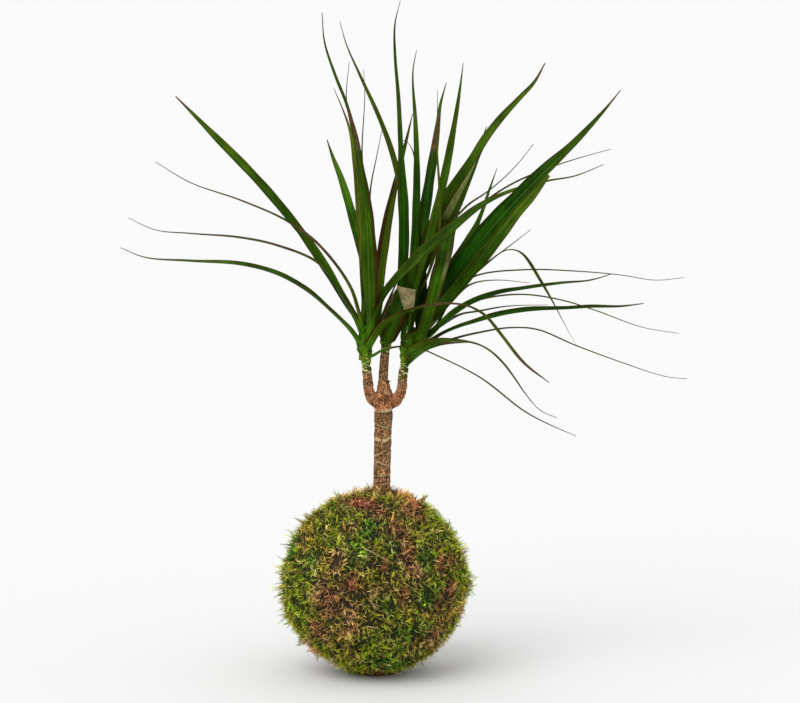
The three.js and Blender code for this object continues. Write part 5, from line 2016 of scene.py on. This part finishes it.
@dataclass(frozen=True)
class DryStalks:
    """Pale dry stalks that lie on the moss."""

    # The stalks that lie on the front, by across and up of their two ends in the window
    front: tuple[tuple[Span, Span], ...] = (
        ((-10, 99.3), (8.1, 89.7)), ((22.3, 107), (22.8, 100)), ((-6.2, 38.5), (3.1, 37)),
        ((-6.2, 37.7), (-4.6, 30)), ((-3.9, 58.5), (2.3, 50.8)), ((-50, 83.9), (-43.9, 79.3)),
    )
    others: int = 34  # How many more lie on the rest of the ball
    others_half: Span = (2.5, 7.0)  # The least and the greatest half length of those
    radius: float = 72.6  # How far from the centre the ends lie
    arch: float = 0.5  # How much farther out the middles lie
    thickness: float = 0.34  # Their radius
    seed: int = 21  # For those with no place of their own

    def ends(self) -> list[tuple[Rows, Rows]]:
        """Where every stalk starts and ends.

        Returns:
            The two ends of each.
        """
        ends = [tuple(WINDOW.on_ball(*end, self.radius) for end in stalk) for stalk in self.front]
        random = np.random.default_rng(self.seed)
        while len(ends) < len(self.front) + self.others:
            way = unit(random.normal(size=3))
            if -0.85 < way[2] < 0.9 and way[1] > -0.3:
                side = unit(np.cross(way, random.normal(size=3)))
                half = side * random.uniform(*self.others_half)
                middle = BALL_CENTRE + way * self.radius
                ends.append((middle - half, middle + half))
        return ends

    def build(self, finishes: "Finishes") -> None:
        """Makes the stalks as one piece and fixes it to the plant.

        Args:
            finishes: The materials.
        """
        draft = MeshDraft()
        radii = ((0, self.thickness), (0.7, self.thickness * 0.85), (1, self.thickness * 0.3))
        for start, end in self.ends():
            outward = unit((start + end) / 2 - BALL_CENTRE)
            middle = BALL_CENTRE + outward * (self.radius + self.arch)
            draft.add(*tube(Route(np.array([start, middle, end])), radii, 8, 6))
        dress(draft.build("dry_stalks", finishes.stalk), "moss")


@dataclass(frozen=True)
class Studio:
    """A plain pale floor, soft lights and the camera."""

    floor_side: float = 60.0  # In metres, as is the camera's sight
    floor: Colour = (0.73, 0.73, 0.73)
    sky: float = 0.957  # Strength of the even light from all round
    sun: float = 1.5  # Strength of the soft main light
    sun_way: Triple = (0.55, 0.75, -1.0)  # The way that it shines, from high on the left and in front
    sun_width_deg: float = 50.0  # How wide it is, seen from the plant
    sensor: float = 36.0  # Width of the camera's sensor
    sight_end: float = 100.0

    def hang(self, name: str, data: bpy.types.ID, way: Vector) -> Piece:
        """Puts a light or a camera in the scene.

        Args:
            name: Its name.
            data: The light or the camera.
            way: The way that it points.

        Returns:
            The new object, at the origin.
        """
        holder = place_object(name, data)
        holder.rotation_euler = way.to_track_quat("-Z", "Y").to_euler()
        return holder

    def build(self) -> None:
        """Sets up the floor, the lights and the camera."""
        half = self.floor_side / 2
        sheet = bpy.data.meshes.new("floor")
        corners = [(-half, -half, 0), (half, -half, 0), (half, half, 0), (-half, half, 0)]
        sheet.from_pydata(corners, [], [(0, 1, 2, 3)])
        sheet.materials.append(PlainFinish("floor_paint", self.floor, self.floor, 20.0, 0.0, 0.9).build())
        place_object("floor", sheet)
        world = bpy.data.worlds.new("studio")
        world.use_nodes = True
        sky = world.node_tree.nodes["Background"].inputs
        sky["Color"].default_value = (1.0, 1.0, 1.0, 1.0)
        sky["Strength"].default_value = self.sky
        bpy.context.scene.world = world
        lamp = bpy.data.lights.new("main_light", "SUN")
        lamp.energy = self.sun
        lamp.angle = math.radians(self.sun_width_deg)
        self.hang("main_light", lamp, Vector(self.sun_way))
        camera = bpy.data.cameras.new("camera")
        camera.sensor_width = self.sensor
        camera.lens = self.sensor * WINDOW.distance / (PHOTO_WIDTH * PHOTO_PIXEL)
        camera.clip_end = self.sight_end
        place, target = Vector(WINDOW.eye * MM), Vector(np.array(WINDOW.middle) * MM)
        holder = self.hang("camera", camera, target - place)
        holder.location = place
        bpy.context.scene.camera = holder
        bpy.context.scene.view_settings.view_transform = "Standard"


class Finishes:
    """The plant's materials, each made once."""

    def __init__(self) -> None:
        """Makes every material."""
        self.leaf = LeafFinish().build()
        self.sheath = SheathFinish().build()
        self.bark = BarkFinish().build()
        self.moss = MossFinish().build()
        self.felt = FeltFinish().build()
        self.thread = PlainFinish("thread_fibre", (0.1, 0.08, 0.04), (0.2, 0.16, 0.09), 900, 0.0002).build()
        self.stalk = PlainFinish("dry_stalk", (0.52, 0.4, 0.2), (0.36, 0.24, 0.11), 500, 0.0002).build()
        self.soil = PlainFinish("potting_soil", (0.05, 0.03, 0.02), (0.02, 0.012, 0.008), 300, 0.001).build()


def dress(piece: Piece, slot: str, *stands_for: str) -> None:
    """Fixes a piece to the plant and hides the solids that it stands for.

    Args:
        piece: The piece.
        slot: The record's slot that its finish would go by; not used.
        *stands_for: The solids that aren't shown because this piece is.
    """
    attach(piece, BODY)
    if stands_for:
        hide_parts(*stands_for)
    piece.data.calc_loop_triangles()
    log.info("%s: %d triangles", piece.name, len(piece.data.loop_triangles))


def main() -> None:
    """Builds every sub-assembly in order, sets the stage and reports what was made."""
    logging.basicConfig(level=logging.INFO, format="%(name)s: %(message)s")
    finishes = Finishes()
    frame["nodes"]["soil_core"].material_slots[0].material = finishes.soil
    for assembly in (
        MossBall(), BindingThread(), DryStalks(), Cane(),
        LeafHead("left", LEFT_BRANCH, 30, LEFT_LEAVES),
        LeafHead("centre", TRUNK, 28, CENTRE_LEAVES, CutLeafPlan()),
        LeafHead("right", RIGHT_BRANCH, 30, RIGHT_LEAVES),
    ):
        assembly.build(finishes)
    Studio().build()


if __name__ == "__main__":
    main()
